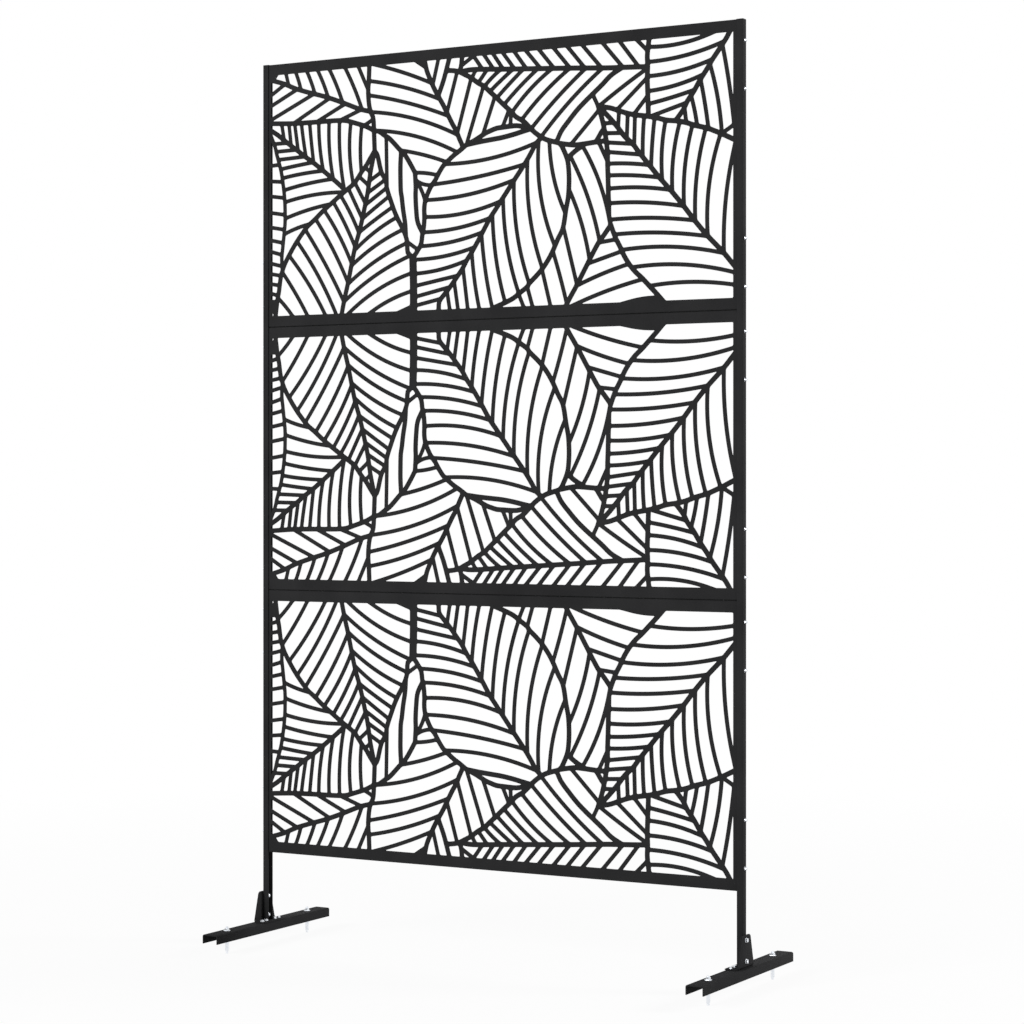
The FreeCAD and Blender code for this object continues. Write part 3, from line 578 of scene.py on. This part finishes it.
def shifted(path, shift):
    """A path moved to its left, with both ends drawn out straight."""
    moved = []
    for start, end in zip(path, path[1:]):
        long = math.dist(start, end)
        across, up = (start[1] - end[1]) * shift / long, (end[0] - start[0]) * shift / long
        moved.append([(place[0] + across, place[1] + up) for place in (start, end)])
    points = [drawn_out(moved[0][1], moved[0][0])]
    for before, after in zip(moved, moved[1:]):
        parts = crossing_parts(*before, *after)
        points.append(between(*before, parts[0]) if parts else after[0])
    points.append(drawn_out(*moved[-1]))
    return points


def path_crossing(first, second, corner):
    """The crossing of two paths nearest to a corner, and how far along each it lies."""
    found = []
    for index, ends in enumerate(zip(first, first[1:])):
        for other, other_ends in enumerate(zip(second, second[1:])):
            parts = crossing_parts(*ends, *other_ends)
            if parts and 0 <= min(parts) and max(parts) <= 1:
                place = between(*ends, parts[0])
                found.append((math.dist(place, corner), place, index + parts[0], other + parts[1]))
    return min(found, key=lambda crossing: crossing[0], default=None)


def opening_sides(loop):
    """The sides of the opening left inside a loop once every line has its width."""
    sides = [(path[0], path[-1], shifted(path, half)) for _, path, half in join_stretches(loop)]

    def side_long(index):
        return math.dist(sides[index][0], sides[index][1])

    while len(sides) > 1:
        meets = []
        lost = []
        for index, (_, corner, path) in enumerate(sides):
            after = (index + 1) % len(sides)
            meets.append(path_crossing(path, sides[after][2], corner))
            if meets[-1] is None:
                lost.append(min(index, after, key=side_long))
        if not lost:
            lost = [index for index in range(len(sides)) if meets[index][2] <= meets[index - 1][3]]
            lost.sort(key=side_long)
        if not lost:
            paths = []
            for index, (_, _, path) in enumerate(sides):
                (_, start, _, first), (_, end, last, _) = meets[index - 1], meets[index]
                paths.append([start, *path[math.floor(first) + 1:math.ceil(last)], end])
            return paths
        sides.pop(lost[0])
    return None


def long_of(path):
    """Length of a path."""
    return sum(math.dist(start, end) for start, end in zip(path, path[1:]))


def cut_back(path, reach):
    """A path without its last stretch of a given length."""
    path = list(path)
    while len(path) > 2 and math.dist(path[-1], path[-2]) <= reach:
        reach -= math.dist(path[-1], path[-2])
        path.pop()
    part = min(reach / math.dist(path[-1], path[-2]), stretch_share)
    path[-1] = between(path[-1], path[-2], part)
    return path


def rounded(paths):
    """One outline from its sides, each corner eased: narrow tips a little, wide corners most."""
    neighbours = list(zip(paths, paths[1:] + paths[:1]))
    reaches = []
    for path, after in neighbours:
        most = round_share * min(long_of(path), long_of(after))
        arms = [Vector(cut_back(arm, min(corner_arm, most))[-1]) - Vector(path[-1])
                for arm in (path, after[::-1])]
        half = arms[0].angle(arms[1]) / 2
        radius = max(tip_round, open_round * math.sin(half) ** 3)
        reaches.append(min(radius / max(math.tan(half), tangent_least), most))
    outline = []
    for index, (path, after) in enumerate(neighbours):
        trimmed = cut_back(cut_back(path, reaches[index])[::-1], reaches[index - 1])[::-1]
        ahead = cut_back(after[::-1], reaches[index])[-1]
        outline.extend(trimmed)
        for step in range(1, corner_steps):
            part = step / corner_steps
            shares = (1 - part) ** 2, 2 * part * (1 - part), part ** 2
            outline.append(tuple(sum(share * place for share, place in zip(shares, places))
                                 for places in zip(trimmed[-1], path[-1], ahead)))
    return outline


def holds(outline, point):
    """Whether an outline goes round a point."""
    odd = False
    for start, end in zip(outline, outline[1:] + outline[:1]):
        if (start[1] > point[1]) != (end[1] > point[1]):
            part = (point[1] - start[1]) / (end[1] - start[1])
            odd = odd != (point[0] < between(start, end, part)[0])
    return odd


def pattern_openings():
    """The outlines of every opening cut in a panel."""
    closed = [on_field(point) for point in solid_shares]
    outlines = []
    for paths in map(opening_sides, pattern_loops()):
        if paths is None:
            continue
        outline = [point for path in paths for point in path[:-1]]
        if area(outline) >= opening_least ** 2 and not any(holds(outline, point) for point in closed):
            outlines.append(rounded(paths))
    return outlines


# Ways of making a piece
def piece(name, form, finish, slot, *nodes):
    """A finished piece on the screen's one body, in place of the solids it stands for."""
    bmesh.ops.scale(form, vec=Vector((metre, metre, metre)), verts=form.verts)
    mesh = bpy.data.meshes.new(name)
    form.to_mesh(mesh)
    form.free()
    for face in mesh.polygons:
        face.use_smooth = True
    mesh.set_sharp_from_angle(angle=smooth_most)
    mesh.materials.append(finish)
    made = add_object(name, mesh)
    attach(made, "root")
    if nodes:
        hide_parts(*nodes)


def tidy(form):
    """Doubles merged and every face turned outwards."""
    bmesh.ops.remove_doubles(form, verts=form.verts, dist=merge_reach)
    bmesh.ops.recalc_face_normals(form, faces=form.faces)


def soften(form, parts, width, segments=2, affect="EDGES"):
    """A small round along edges, or at corners."""
    bmesh.ops.bevel(form, geom=parts, offset=width, offset_type="OFFSET", affect=affect,
                    segments=segments, profile=0.5, material=-1, clamp_overlap=True)


def ease_edges(form, width):
    """Every sharp edge of a shape eased a little."""
    soften(form, [edge for edge in form.edges if edge.calc_face_angle(0) > sharp_least], width)
    tidy(form)


def upright_edges(form):
    """The edges of a shape that rise."""
    return [edge for edge in form.edges if abs(edge.verts[0].co.z - edge.verts[1].co.z) > 1]


def edges_at(form, level):
    """The edges of a shape that lie at its top level."""
    return [edge for edge in form.edges if min(vert.co.z for vert in edge.verts) > level - 0.1]


def new_parts(made, kind=bmesh.types.BMVert):
    """The corners, or the edges, among what an extrusion has made."""
    return [part for part in made["geom"] if isinstance(part, kind)]


def add_form(form, other, place):
    """A shape joined to a piece at its place."""
    bmesh.ops.transform(other, matrix=place, verts=other.verts)
    passing = bpy.data.meshes.new("passing")
    other.to_mesh(passing)
    other.free()
    form.from_mesh(passing)
    bpy.data.meshes.remove(passing)


def block(low, high):
    """A plain block between two corners, ready to be shaped."""
    form = bmesh.new()
    bmesh.ops.create_cube(form, size=1)
    bmesh.ops.scale(form, vec=high - low, verts=form.verts)
    bmesh.ops.translate(form, vec=(low + high) / 2, verts=form.verts)
    return form


def node_box(node):
    """A node's corners in millimetres."""
    low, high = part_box(node)
    return low / metre, high / metre


def along(direction, place):
    """The place of a shape that is made standing up and then points along a direction."""
    turn = Vector(direction).to_track_quat("Z", "Y").to_matrix().to_4x4()
    return Matrix.Translation(Vector(place)) @ turn


# Panels
def panel_face(outlines):
    """The flat cut face as a mesh, front at y 0 and back at the sheet's thickness."""
    curve = bpy.data.curves.new("cut_face", "CURVE")
    curve.dimensions = "2D"
    curve.fill_mode = "BOTH"
    curve.extrude = sheet_thick / 2 - cut_edge
    curve.bevel_depth = cut_edge
    curve.bevel_resolution = 0
    for outline in outlines:
        spline = curve.splines.new("POLY")
        spline.points.add(len(outline) - 1)
        for point, (across, up) in zip(spline.points, outline):
            point.co = (across, up, 0, 1)
        spline.use_cyclic_u = True
    flat = add_object("cut_face", curve)
    bpy.context.view_layer.update()
    mesh = bpy.data.meshes.new_from_object(flat)
    bpy.data.objects.remove(flat)
    bpy.data.curves.remove(curve)
    form = bmesh.new()
    form.from_mesh(mesh)
    bpy.data.meshes.remove(mesh)
    bmesh.ops.rotate(form, matrix=Matrix.Rotation(math.radians(90), 3, "X"), verts=form.verts)
    bmesh.ops.translate(form, vec=Vector((0, sheet_thick / 2, 0)), verts=form.verts)
    return form


def face_hole(across, up):
    """A small round hole in the panel's face."""
    radius = face_hole_wide / 2 + cut_edge
    turns = [math.tau * step / face_hole_steps for step in range(face_hole_steps)]
    return [(across + radius * math.cos(turn), up + radius * math.sin(turn)) for turn in turns]


def fold_profile():
    """A return's outline from the face's rim to its free edge and back: inset and depth."""
    inner = fold_outer - sheet_thick
    turns = [step / fold_steps * math.pi / 2 for step in range(1, fold_steps + 1)]
    ring = [(fold_outer * (1 - math.sin(turn)), fold_outer * (1 - math.cos(turn))) for turn in turns]
    ring += [(0, tray_deep - return_edge), (return_edge, tray_deep),
             (sheet_thick - return_edge, tray_deep), (sheet_thick, tray_deep - return_edge)]
    ring += [(fold_outer - inner * math.sin(turn), fold_outer - inner * math.cos(turn))
             for turn in reversed(turns)]
    return ring + [(fold_outer, sheet_thick)]


def fold_returns(form):
    """The four returns folded back from the edge of the cut face."""
    bmesh.ops.remove_doubles(form, verts=form.verts, dist=merge_reach)
    rim = fold_outer - cut_edge / 2

    def on_rim(place):
        return min(place.x, tray_wide - place.x, place.z, panel_tall - place.z) < rim

    bmesh.ops.delete(form, geom=[vert for vert in form.verts if on_rim(vert.co)], context="VERTS")
    front = [edge for edge in form.edges
             if edge.is_boundary and edge.verts[0].co.y < sheet_thick / 2]
    for inset, depth in fold_profile():
        made = bmesh.ops.extrude_edge_only(form, edges=front)
        front = new_parts(made, bmesh.types.BMEdge)
        for corner in new_parts(made):
            corner.co.x = inset if corner.co.x < tray_wide / 2 else tray_wide - inset
            corner.co.z = inset if corner.co.z < panel_tall / 2 else panel_tall - inset
            corner.co.y = depth
    tidy(form)


def make_panels():
    """Three trays from one cut pattern, the upper one turned upside down."""
    right, top = tray_wide - fold_outer, panel_tall - fold_outer
    outlines = [[(fold_outer, fold_outer), (right, fold_outer), (right, top), (fold_outer, top)]]
    start = side_tuck + pattern_shift
    for outline in pattern_openings():
        outlines.append([(start + across, up) for across, up in outline])
    outlines.append(face_hole(side_tuck + face_hole_across, panel_tall - face_hole_down))
    tray = panel_face(outlines)
    fold_returns(tray)
    for name in panel_names:
        corner = node_box(name + "_panel")[0] + Vector((-side_tuck, face_inset, 0))
        form = tray.copy()
        if name == "upper":
            bmesh.ops.scale(form, vec=Vector((1, 1, -1)), verts=form.verts)
            bmesh.ops.translate(form, vec=Vector((0, 0, panel_tall)), verts=form.verts)
            bmesh.ops.reverse_faces(form, faces=form.faces)
        bmesh.ops.translate(form, vec=corner, verts=form.verts)
        piece(name + "_leaf_panel", form, coat, "coated_steel", name + "_panel")
    tray.free()


# Posts, feet and brackets
def post_section(wide, deep):
    """A channel's cross section, web at nought, its front flange hemmed at the edge."""
    hem_start = flange_wide - hem_wide
    return ((0, 0), (flange_wide, 0), (flange_wide, hem_thick), (hem_start, hem_thick),
            (hem_start, post_wall), (post_wall, post_wall), (post_wall, deep - post_wall),
            (wide, deep - post_wall), (wide, deep), (0, deep))


def make_post(name, side):
    """A channel with its open side towards the panels."""
    low, high = node_box(name + "_post")
    web = high.x if side > 0 else low.x
    post = bmesh.new()
    floor = post.faces.new([post.verts.new((web - side * across, low.y + back, low.z))
                            for across, back in post_section(high.x - low.x, high.y - low.y)])
    raised = bmesh.ops.extrude_face_region(post, geom=[floor], use_keep_orig=True)
    bmesh.ops.translate(post, vec=Vector((0, 0, high.z - low.z)), verts=new_parts(raised))
    tidy(post)
    outer = [edge for edge in upright_edges(post) if abs(edge.verts[0].co.x - web) < 0.1]
    soften(post, outer, post_round, round_steps)
    ease_edges(post, post_edge)
    piece(name + "_channel_post", post, coat, "coated_steel", name + "_post")


def make_cap(name):
    """The closed top of a post."""
    low, high = node_box(name + "_post_cap")
    cap = block(Vector((low.x, low.y, high.z - cap_thick)), high)
    soften(cap, upright_edges(cap), post_round, round_steps)
    soften(cap, edges_at(cap, high.z), cap_round, cap_steps)
    tidy(cap)
    piece(name + "_square_cap", cap, coat, "coated_steel", name + "_post_cap")


def thicken(form, folds, fold_round, thick, outward, edge_round):
    """A thin shape folded and given its thickness, away from its top face's outer side."""
    soften(form, folds, fold_round, bend_steps)
    bmesh.ops.recalc_face_normals(form, faces=form.faces)
    top = max(form.faces, key=lambda face: face.calc_center_median().z)
    if top.normal.dot(Vector(outward)) < 0:
        bmesh.ops.reverse_faces(form, faces=form.faces)
    bmesh.ops.solidify(form, geom=form.faces[:], thickness=thick)
    tidy(form)
    ease_edges(form, edge_round)


def make_foot(name):
    """A channel bent from plate, open side down."""
    low, high = node_box(name + "_foot")
    channel = block(low, high)
    gone = [face for face in channel.faces if face.normal.z < -0.5 or abs(face.normal.y) > 0.5]
    bmesh.ops.delete(channel, geom=gone, context="FACES")
    folds = [edge for edge in edges_at(channel, high.z)
             if abs(edge.verts[0].co.y - edge.verts[1].co.y) > 1]
    thicken(channel, folds, channel_round, channel_wall, (0, 0, 1), channel_edge)
    piece(name + "_floor_channel", channel, coat, "coated_steel", name + "_foot")


def make_bracket(name, side):
    """A tapered plate outside the post and a flange under it, folded from one plate."""
    low, high = node_box(name + "_bracket")
    out, inward = (high.x, low.x) if side > 0 else (low.x, high.x)
    plate = bmesh.new()
    fold = plate.edges.new([plate.verts.new((out, back, low.z)) for back in (low.y, high.y)])
    top = new_parts(bmesh.ops.extrude_edge_only(plate, edges=[fold]))
    for vert in top:
        vert.co.z = high.z
        vert.co.y = math.copysign(bracket_top_wide / 2, vert.co.y)
    for vert in new_parts(bmesh.ops.extrude_edge_only(plate, edges=[fold])):
        vert.co.x = inward
    soften(plate, top, bracket_top_round, bend_steps, "VERTICES")
    folds = [edge for edge in plate.edges if len(edge.link_faces) == 2]
    thicken(plate, folds, bracket_fold, bracket_thick, (side, 0, 0), bracket_edge)
    piece(name + "_post_bracket", plate, coat, "coated_steel", name + "_bracket")


# Fasteners
def shape_ring(face, radius, height):
    """A face's corners moved to a radius and height about the middle."""
    for vert in face.verts:
        flat = Vector((vert.co.x, vert.co.y, 0)).normalized() * radius
        vert.co = Vector((flat.x, flat.y, height))


def hex_shape(across, high, bore, bore_deep):
    """A six-sided nut or head with turned corners and a bore in its top."""
    form = bmesh.new()
    apothem = across / 2
    bmesh.ops.create_circle(form, cap_ends=True, radius=apothem, segments=round_sides)
    raised = new_parts(bmesh.ops.extrude_face_region(form, geom=form.faces[:]))
    bmesh.ops.translate(form, vec=Vector((0, 0, high)), verts=raised)
    for vert in form.verts:
        turn = math.atan2(vert.co.y, vert.co.x) % (math.pi / 3) - math.pi / 6
        reach = apothem / math.cos(turn)
        vert.co.x *= reach / apothem
        vert.co.y *= reach / apothem
        if vert.co.z > high / 2:
            vert.co.z = high - (reach - apothem * corner_start) * corner_fall
    tops = [face for face in form.faces if face.normal.z > 0.5]
    bmesh.ops.inset_individual(form, faces=tops, thickness=apothem * crown_wide)
    top = max((face for face in form.faces if len(face.verts) == round_sides),
              key=lambda face: face.calc_center_median().z)
    shape_ring(top, apothem * crown_ring, high)
    for radius, height in ((bore / 2 + bore_edge, high), (bore / 2, high - bore_edge),
                           (bore / 2 - 0.01, high - bore_deep)):
        bmesh.ops.inset_individual(form, faces=[top], thickness=0.01)
        shape_ring(top, radius, height)
    tidy(form)
    return form


def round_bar(steps, sides):
    """A turned shape from its radii and heights, closed at both ends."""
    form = bmesh.new()
    start = Matrix.Translation(Vector((0, 0, steps[0][1])))

    def add_end():
        bmesh.ops.create_circle(form, cap_ends=True, radius=steps[0][0], segments=sides, matrix=start)

    add_end()
    face = form.faces[:][0]
    for radius, height in steps[1:]:
        face = bmesh.ops.extrude_discrete_faces(form, faces=[face])["faces"][0]
        shape_ring(face, radius, height)
    add_end()
    tidy(form)
    return form


def spin_line(points, closed, steps, rise):
    """A line of radii and heights spun once round the upright axis, rising at each step."""
    form = bmesh.new()
    verts = [form.verts.new((radius, 0, height)) for radius, height in points]
    edges = [form.edges.new(pair) for pair in zip(verts, verts[1:] + verts[:closed])]
    bmesh.ops.spin(form, geom=verts + edges, cent=(0, 0, 0), axis=(0, 0, 1), dvec=(0, 0, rise),
                   angle=math.tau, steps=steps, use_merge=closed, use_duplicate=False)
    return form


def turned(profile, sides=ring_sides):
    """A closed profile of radii and heights as a turned solid."""
    form = spin_line(profile, True, sides, 0)
    tidy(form)
    return form


def washer_shape(outer, inner, thick):
    """A flat ring with small rounds on its edges."""
    rim = outer - washer_edge
    return turned([(inner, 0), (rim, 0), (outer, washer_edge), (outer, thick - washer_edge),
                   (rim, thick), (inner + washer_edge, thick), (inner, thick - washer_edge)])


def threaded(radius, low, high):
    """A length of real screw thread, cut square at both ends."""
    points = []
    height = low - 2 * thread_pitch
    while height < high + 2 * thread_pitch:
        points += [(radius, height), (radius - thread_deep, height + thread_pitch / 2)]
        height += thread_pitch
    form = spin_line(points, False, thread_sides, thread_pitch / thread_sides)
    bmesh.ops.remove_doubles(form, verts=form.verts, dist=0.01)
    for level, up in ((low, -1), (high, 1)):
        bmesh.ops.bisect_plane(form, geom=form.verts[:] + form.edges[:] + form.faces[:],
                               dist=0.001, plane_co=(0, 0, level), plane_no=(0, 0, up),
                               clear_outer=True)
    bmesh.ops.holes_fill(form, edges=[edge for edge in form.edges if edge.is_boundary], sides=0)
    tidy(form)
    return form


def add_nut(form, place, across, high, bore, bore_deep):
    """A nut or a bolt's head on its washer."""
    washer = washer_shape(across / 2 + bolt_washer_brim, bolt_wide / 2, bolt_washer_thick)
    add_form(form, washer, place)
    seat = place @ Matrix.Translation(Vector((0, 0, bolt_washer_thick)))
    add_form(form, hex_shape(across, high, bore, bore_deep), seat)


def make_bracket_bolts(name, side):
    """Two bolts through the bracket and the post, a nut on both sides of the metal."""
    foot_top = node_box(name + "_foot")[1].z
    low, high = node_box(name + "_bracket_bolts")
    outer_start = low.x if side > 0 else high.x
    post_low, post_high = node_box(name + "_post")
    inner_start = post_high.x - post_wall if side > 0 else post_low.x + post_wall
    outer_end = high.x - low.x
    root = bolt_wide / 2 - bolt_slack
    form = bmesh.new()
    for start, outward, across, nut_high, reach in (
            (outer_start, side, nut_across, outer_end - bolt_washer_thick, outer_end),
            (inner_start, -side, inner_nut_across, inner_nut_thick, inner_bolt_end)):
        for lift in bracket_bolt_lifts:
            place = along((outward, 0, 0), (start, 0, foot_top + lift))
            add_nut(form, place, across, nut_high, bolt_wide, nut_bore_deep)
            end = round_bar([(root, 0), (root, reach - bolt_edge_start),
                             (root - tip_taper, reach - bolt_sunk)], bolt_sides)
            add_form(form, end, place)
    piece(name + "_bracket_zinc_bolts", form, zinc, "zinc_steel",
          name + "_bracket_bolts", name + "_bracket_nuts")


def make_base_bolts(name):
    """Four bolts through the bracket's flange and the foot."""
    node = name + "_base_bolts"
    low, high = node_box(node)
    form = bmesh.new()
    for back in base_bolt_reaches:
        place = along((0, 0, 1), ((low.x + high.x) / 2, back, low.z))
        add_nut(form, place, nut_across, high.z - low.z - bolt_washer_thick,
                head_recess_wide, head_recess_deep)
    piece(name + "_base_zinc_bolts", form, zinc, "zinc_steel", node)


def make_anchor(name):
    """A floor anchor: threaded stud with its cone, washer, nut and sleeve."""
    low, high = node_box(name + "_stud")
    middle = (low + high) / 2
    radius = stud_wide / 2
    root = radius - thread_deep
    thread_end = high.z - tip_high

    def stand(form, level, kind, node):
        """A shape moved to the anchor's axis and finished."""
        bmesh.ops.translate(form, vec=Vector((middle.x, middle.y, level)), verts=form.verts)
        piece(name + kind, form, zinc, "zinc_steel", name + node)

    stud = threaded(radius, thread_start, thread_end)
    shank_radius = radius - shank_slack
    tip = ((root, thread_end - 0.1), (root, thread_end), (root - tip_taper, high.z))
    shank = ((shank_radius, cone_high), (shank_radius, thread_start))
    cone = ((radius - cone_edge, 0), (radius, cone_edge), (radius, cone_foot),
            (radius - cone_taper, cone_high))
    for steps, sides in ((tip, thread_sides), (shank, round_sides), (cone, round_sides)):
        add_form(stud, round_bar(steps, sides), Matrix())
    stand(stud, 0, "_threaded_stud", "_stud")
    low, high = node_box(name + "_washer")
    washer = washer_shape((high.x - low.x) / 2, radius + washer_slack, high.z - low.z)
    stand(washer, low.z, "_round_washer", "_washer")
    low, high = node_box(name + "_nut")
    nut = hex_shape(anchor_nut_across, high.z - low.z, stud_wide, anchor_bore_deep)
    stand(nut, low.z, "_hex_nut", "_nut")
    low, high = node_box(name + "_sleeve")
    inner, outer = radius + sleeve_slack, min(high.x - low.x, high.y - low.y) / 2
    rim = outer - sleeve_edge_wide
    sleeve = turned([(inner, low.z), (rim, low.z), (outer, low.z + sleeve_edge_high),
                     (outer, high.z - sleeve_edge_high), (rim, high.z), (inner, high.z)])
    stand(sleeve, 0, "_steel_sleeve", "_sleeve")


def screw_shape():
    """A round head with a recess, on a small washer."""
    washer, head, recess = screw_washer_wide / 2, screw_wide / 2, screw_recess_wide / 2
    rim, seat, floor = washer - washer_edge, screw_washer_thick, screw_proud - screw_recess_deep
    return turned([(axis_gap, 0), (rim, 0), (washer, washer_edge), (washer, seat - washer_edge),
                   (rim, seat), (head, seat), (head, screw_proud - screw_edge),
                   (head - screw_edge, screw_proud), (recess + bore_edge, screw_proud),
                   (recess, screw_proud - bore_edge), (recess, floor),
                   (axis_gap, floor)], round_sides)


def make_panel_screws(name, side):
    """Twelve screws through a post into the panels' side returns."""
    low, high = node_box(name + "_post")
    outer = high.x if side > 0 else low.x
    form = bmesh.new()
    for panel in panel_names:
        panel_base = node_box(panel + "_panel")[0].z
        for lift in screw_lifts:
            add_form(form, screw_shape(), along((side, 0, 0), (outer, 0, panel_base + lift)))
    piece(name + "_panel_screws", form, zinc, "zinc_steel")


# Finishes
def set_inputs(tree, node, inputs):
    """A node's inputs set, each to a value or to another node's output."""
    for key, value in inputs.items():
        if isinstance(value, bpy.types.NodeSocket):
            tree.links.new(value, node.inputs[key])
        else:
            node.inputs[key].default_value = value


def add_node(tree, kind, inputs, output, operation=None):
    """The output of a new node."""
    node = tree.nodes.new(kind)
    if operation:
        node.operation = operation
    set_inputs(tree, node, inputs)
    return node.outputs[output]


def new_finish(name, shown, tones, cloud, fine, gloss, grain, grain_high, settings):
    """A finish with faint clouds in its colour, fine wear in its gloss and a fine grain."""
    finish = bpy.data.materials.new(name)
    finish.use_nodes = True
    finish.diffuse_color = (*shown, 1)
    tree = finish.node_tree
    places = add_node(tree, "ShaderNodeTexCoord", {}, "Object")

    def noise(scale, detail):
        inputs = {"Scale": scale, "Detail": detail, "Vector": places}
        return add_node(tree, "ShaderNodeTexNoise", inputs, "Fac")

    ramp = tree.nodes.new("ShaderNodeValToRGB")
    for element, position, tone in zip(ramp.color_ramp.elements, (0.35, 0.65), tones):
        element.position = position
        element.color = (*tone, 1)
    set_inputs(tree, ramp, {"Fac": noise(*cloud)})
    rough = add_node(tree, "ShaderNodeMapRange", {
        "Value": noise(*fine), "From Min": 0.3, "From Max": 0.7,
        "To Min": gloss[0], "To Max": gloss[1]}, "Result")
    bump = add_node(tree, "ShaderNodeBump", {
        "Strength": grain_high[0], "Distance": grain_high[1], "Height": noise(*grain)}, "Normal")
    shader = tree.nodes["Principled BSDF"]
    set_inputs(tree, shader, {"Base Color": ramp.outputs["Color"], "Roughness": rough,
                              "Normal": bump, **settings})
    return finish


# Satin black powder coat, and bright zinc plate with a faint bluish cast
coat = new_finish(
    "black_powder_coat", shown=(0.02, 0.02, 0.021),
    tones=((0.0175, 0.0175, 0.0182), (0.0225, 0.0225, 0.0232)), cloud=(9, 3), fine=(320, 2),
    gloss=(0.7, 0.8), grain=(700, 2), grain_high=(0.12, 0.0002),
    settings={"Specular IOR Level": 0.03})
zinc = new_finish(
    "bright_zinc", shown=(0.8, 0.83, 0.87),
    tones=((0.74, 0.77, 0.81), (0.86, 0.88, 0.91)), cloud=(180, 3), fine=(900, 3),
    gloss=(0.22, 0.36), grain=(900, 3), grain_high=(0.1, 0.0001),
    settings={"Metallic": 1.0})

make_panels()
for name, side in (("left", -1), ("right", 1)):
    make_post(name, side)
    make_cap(name)
    make_foot(name)
    make_bracket(name, side)
    make_bracket_bolts(name, side)
    make_base_bolts(name)
    make_panel_screws(name, side)
    for end in ("front", "rear"):
        make_anchor(name + "_" + end + "_anchor")


# Floor, world and lamps
def seen_white(tree):
    """One where a ray comes from the camera, a gloss or a clear piece."""
    rays = tree.nodes.new("ShaderNodeLightPath").outputs
    total = rays["Is Camera Ray"]
    for ray in ("Is Glossy Ray", "Is Transmission Ray"):
        total = add_node(tree, "ShaderNodeMath", {0: total, 1: rays[ray]}, "Value", "MAXIMUM")
    return total


def lay_floor():
    """A wide pale floor that keeps a faint shadow."""
    form = bmesh.new()
    bmesh.ops.create_grid(form, x_segments=12, y_segments=12, size=floor_reach)
    bmesh.ops.translate(form, vec=Vector((0, 0, -floor_drop)), verts=form.verts)
    mesh = bpy.data.meshes.new("studio_floor")
    form.to_mesh(mesh)
    form.free()
    floor = add_object("studio_floor", mesh)
    finish = bpy.data.materials.new("studio_white")
    finish.use_nodes = True
    tree = finish.node_tree
    shader = tree.nodes["Principled BSDF"]
    set_inputs(tree, shader, {"Base Color": (floor_grey, floor_grey, floor_grey, 1),
                              "Roughness": 1, "Specular IOR Level": 0})
    places = add_node(tree, "ShaderNodeTexCoord", {}, "Object")
    away = add_node(tree, "ShaderNodeVectorMath", {0: places}, "Value", "LENGTH")
    fade = add_node(tree, "ShaderNodeMapRange", {
        "Value": away, "From Min": shadow_near, "From Max": shadow_far,
        "To Min": shadow_level, "To Max": 1.0}, "Result")
    part = add_node(tree, "ShaderNodeMath", {0: seen_white(tree), 1: fade}, "Value", "MULTIPLY")
    glow = add_node(tree, "ShaderNodeEmission", {"Strength": 1}, "Emission")
    mix = add_node(tree, "ShaderNodeMixShader", {
        "Fac": part, 1: shader.outputs["BSDF"], 2: glow}, "Shader")
    set_inputs(tree, tree.nodes["Material Output"], {"Surface": mix})
    mesh.materials.append(finish)


def light_world():
    """Even light from all round, seen as white."""
    world = bpy.data.worlds.new("studio_world")
    bpy.context.scene.world = world
    world.use_nodes = True
    tree = world.node_tree
    level = add_node(tree, "ShaderNodeMapRange", {
        "Value": seen_white(tree), "To Min": world_light, "To Max": 1.0}, "Result")
    set_inputs(tree, tree.nodes["Background"], {"Color": (1, 1, 1, 1), "Strength": level})


def hang_lamp(name, place, aim, wide, high, power):
    """A soft box lamp turned towards a point."""
    data = bpy.data.lights.new(name, "AREA")
    data.shape = "RECTANGLE"
    data.size = wide
    data.size_y = high
    data.energy = power
    lamp = add_object(name, data)
    lamp.location = place
    lamp.rotation_euler = (Vector(aim) - Vector(place)).to_track_quat("-Z", "Y").to_euler()


lay_floor()
light_world()
hang_lamp("front_soft_box", (-2.8, -8.4, 4.8), (0, 0, 1.0), 2.5, 2.5, 760)
hang_lamp("side_soft_box", (5.5, 2.6, 3.2), (0, 0, 0.9), 1.2, 2.0, 350)

bpy.context.scene.view_settings.view_transform = "Standard"
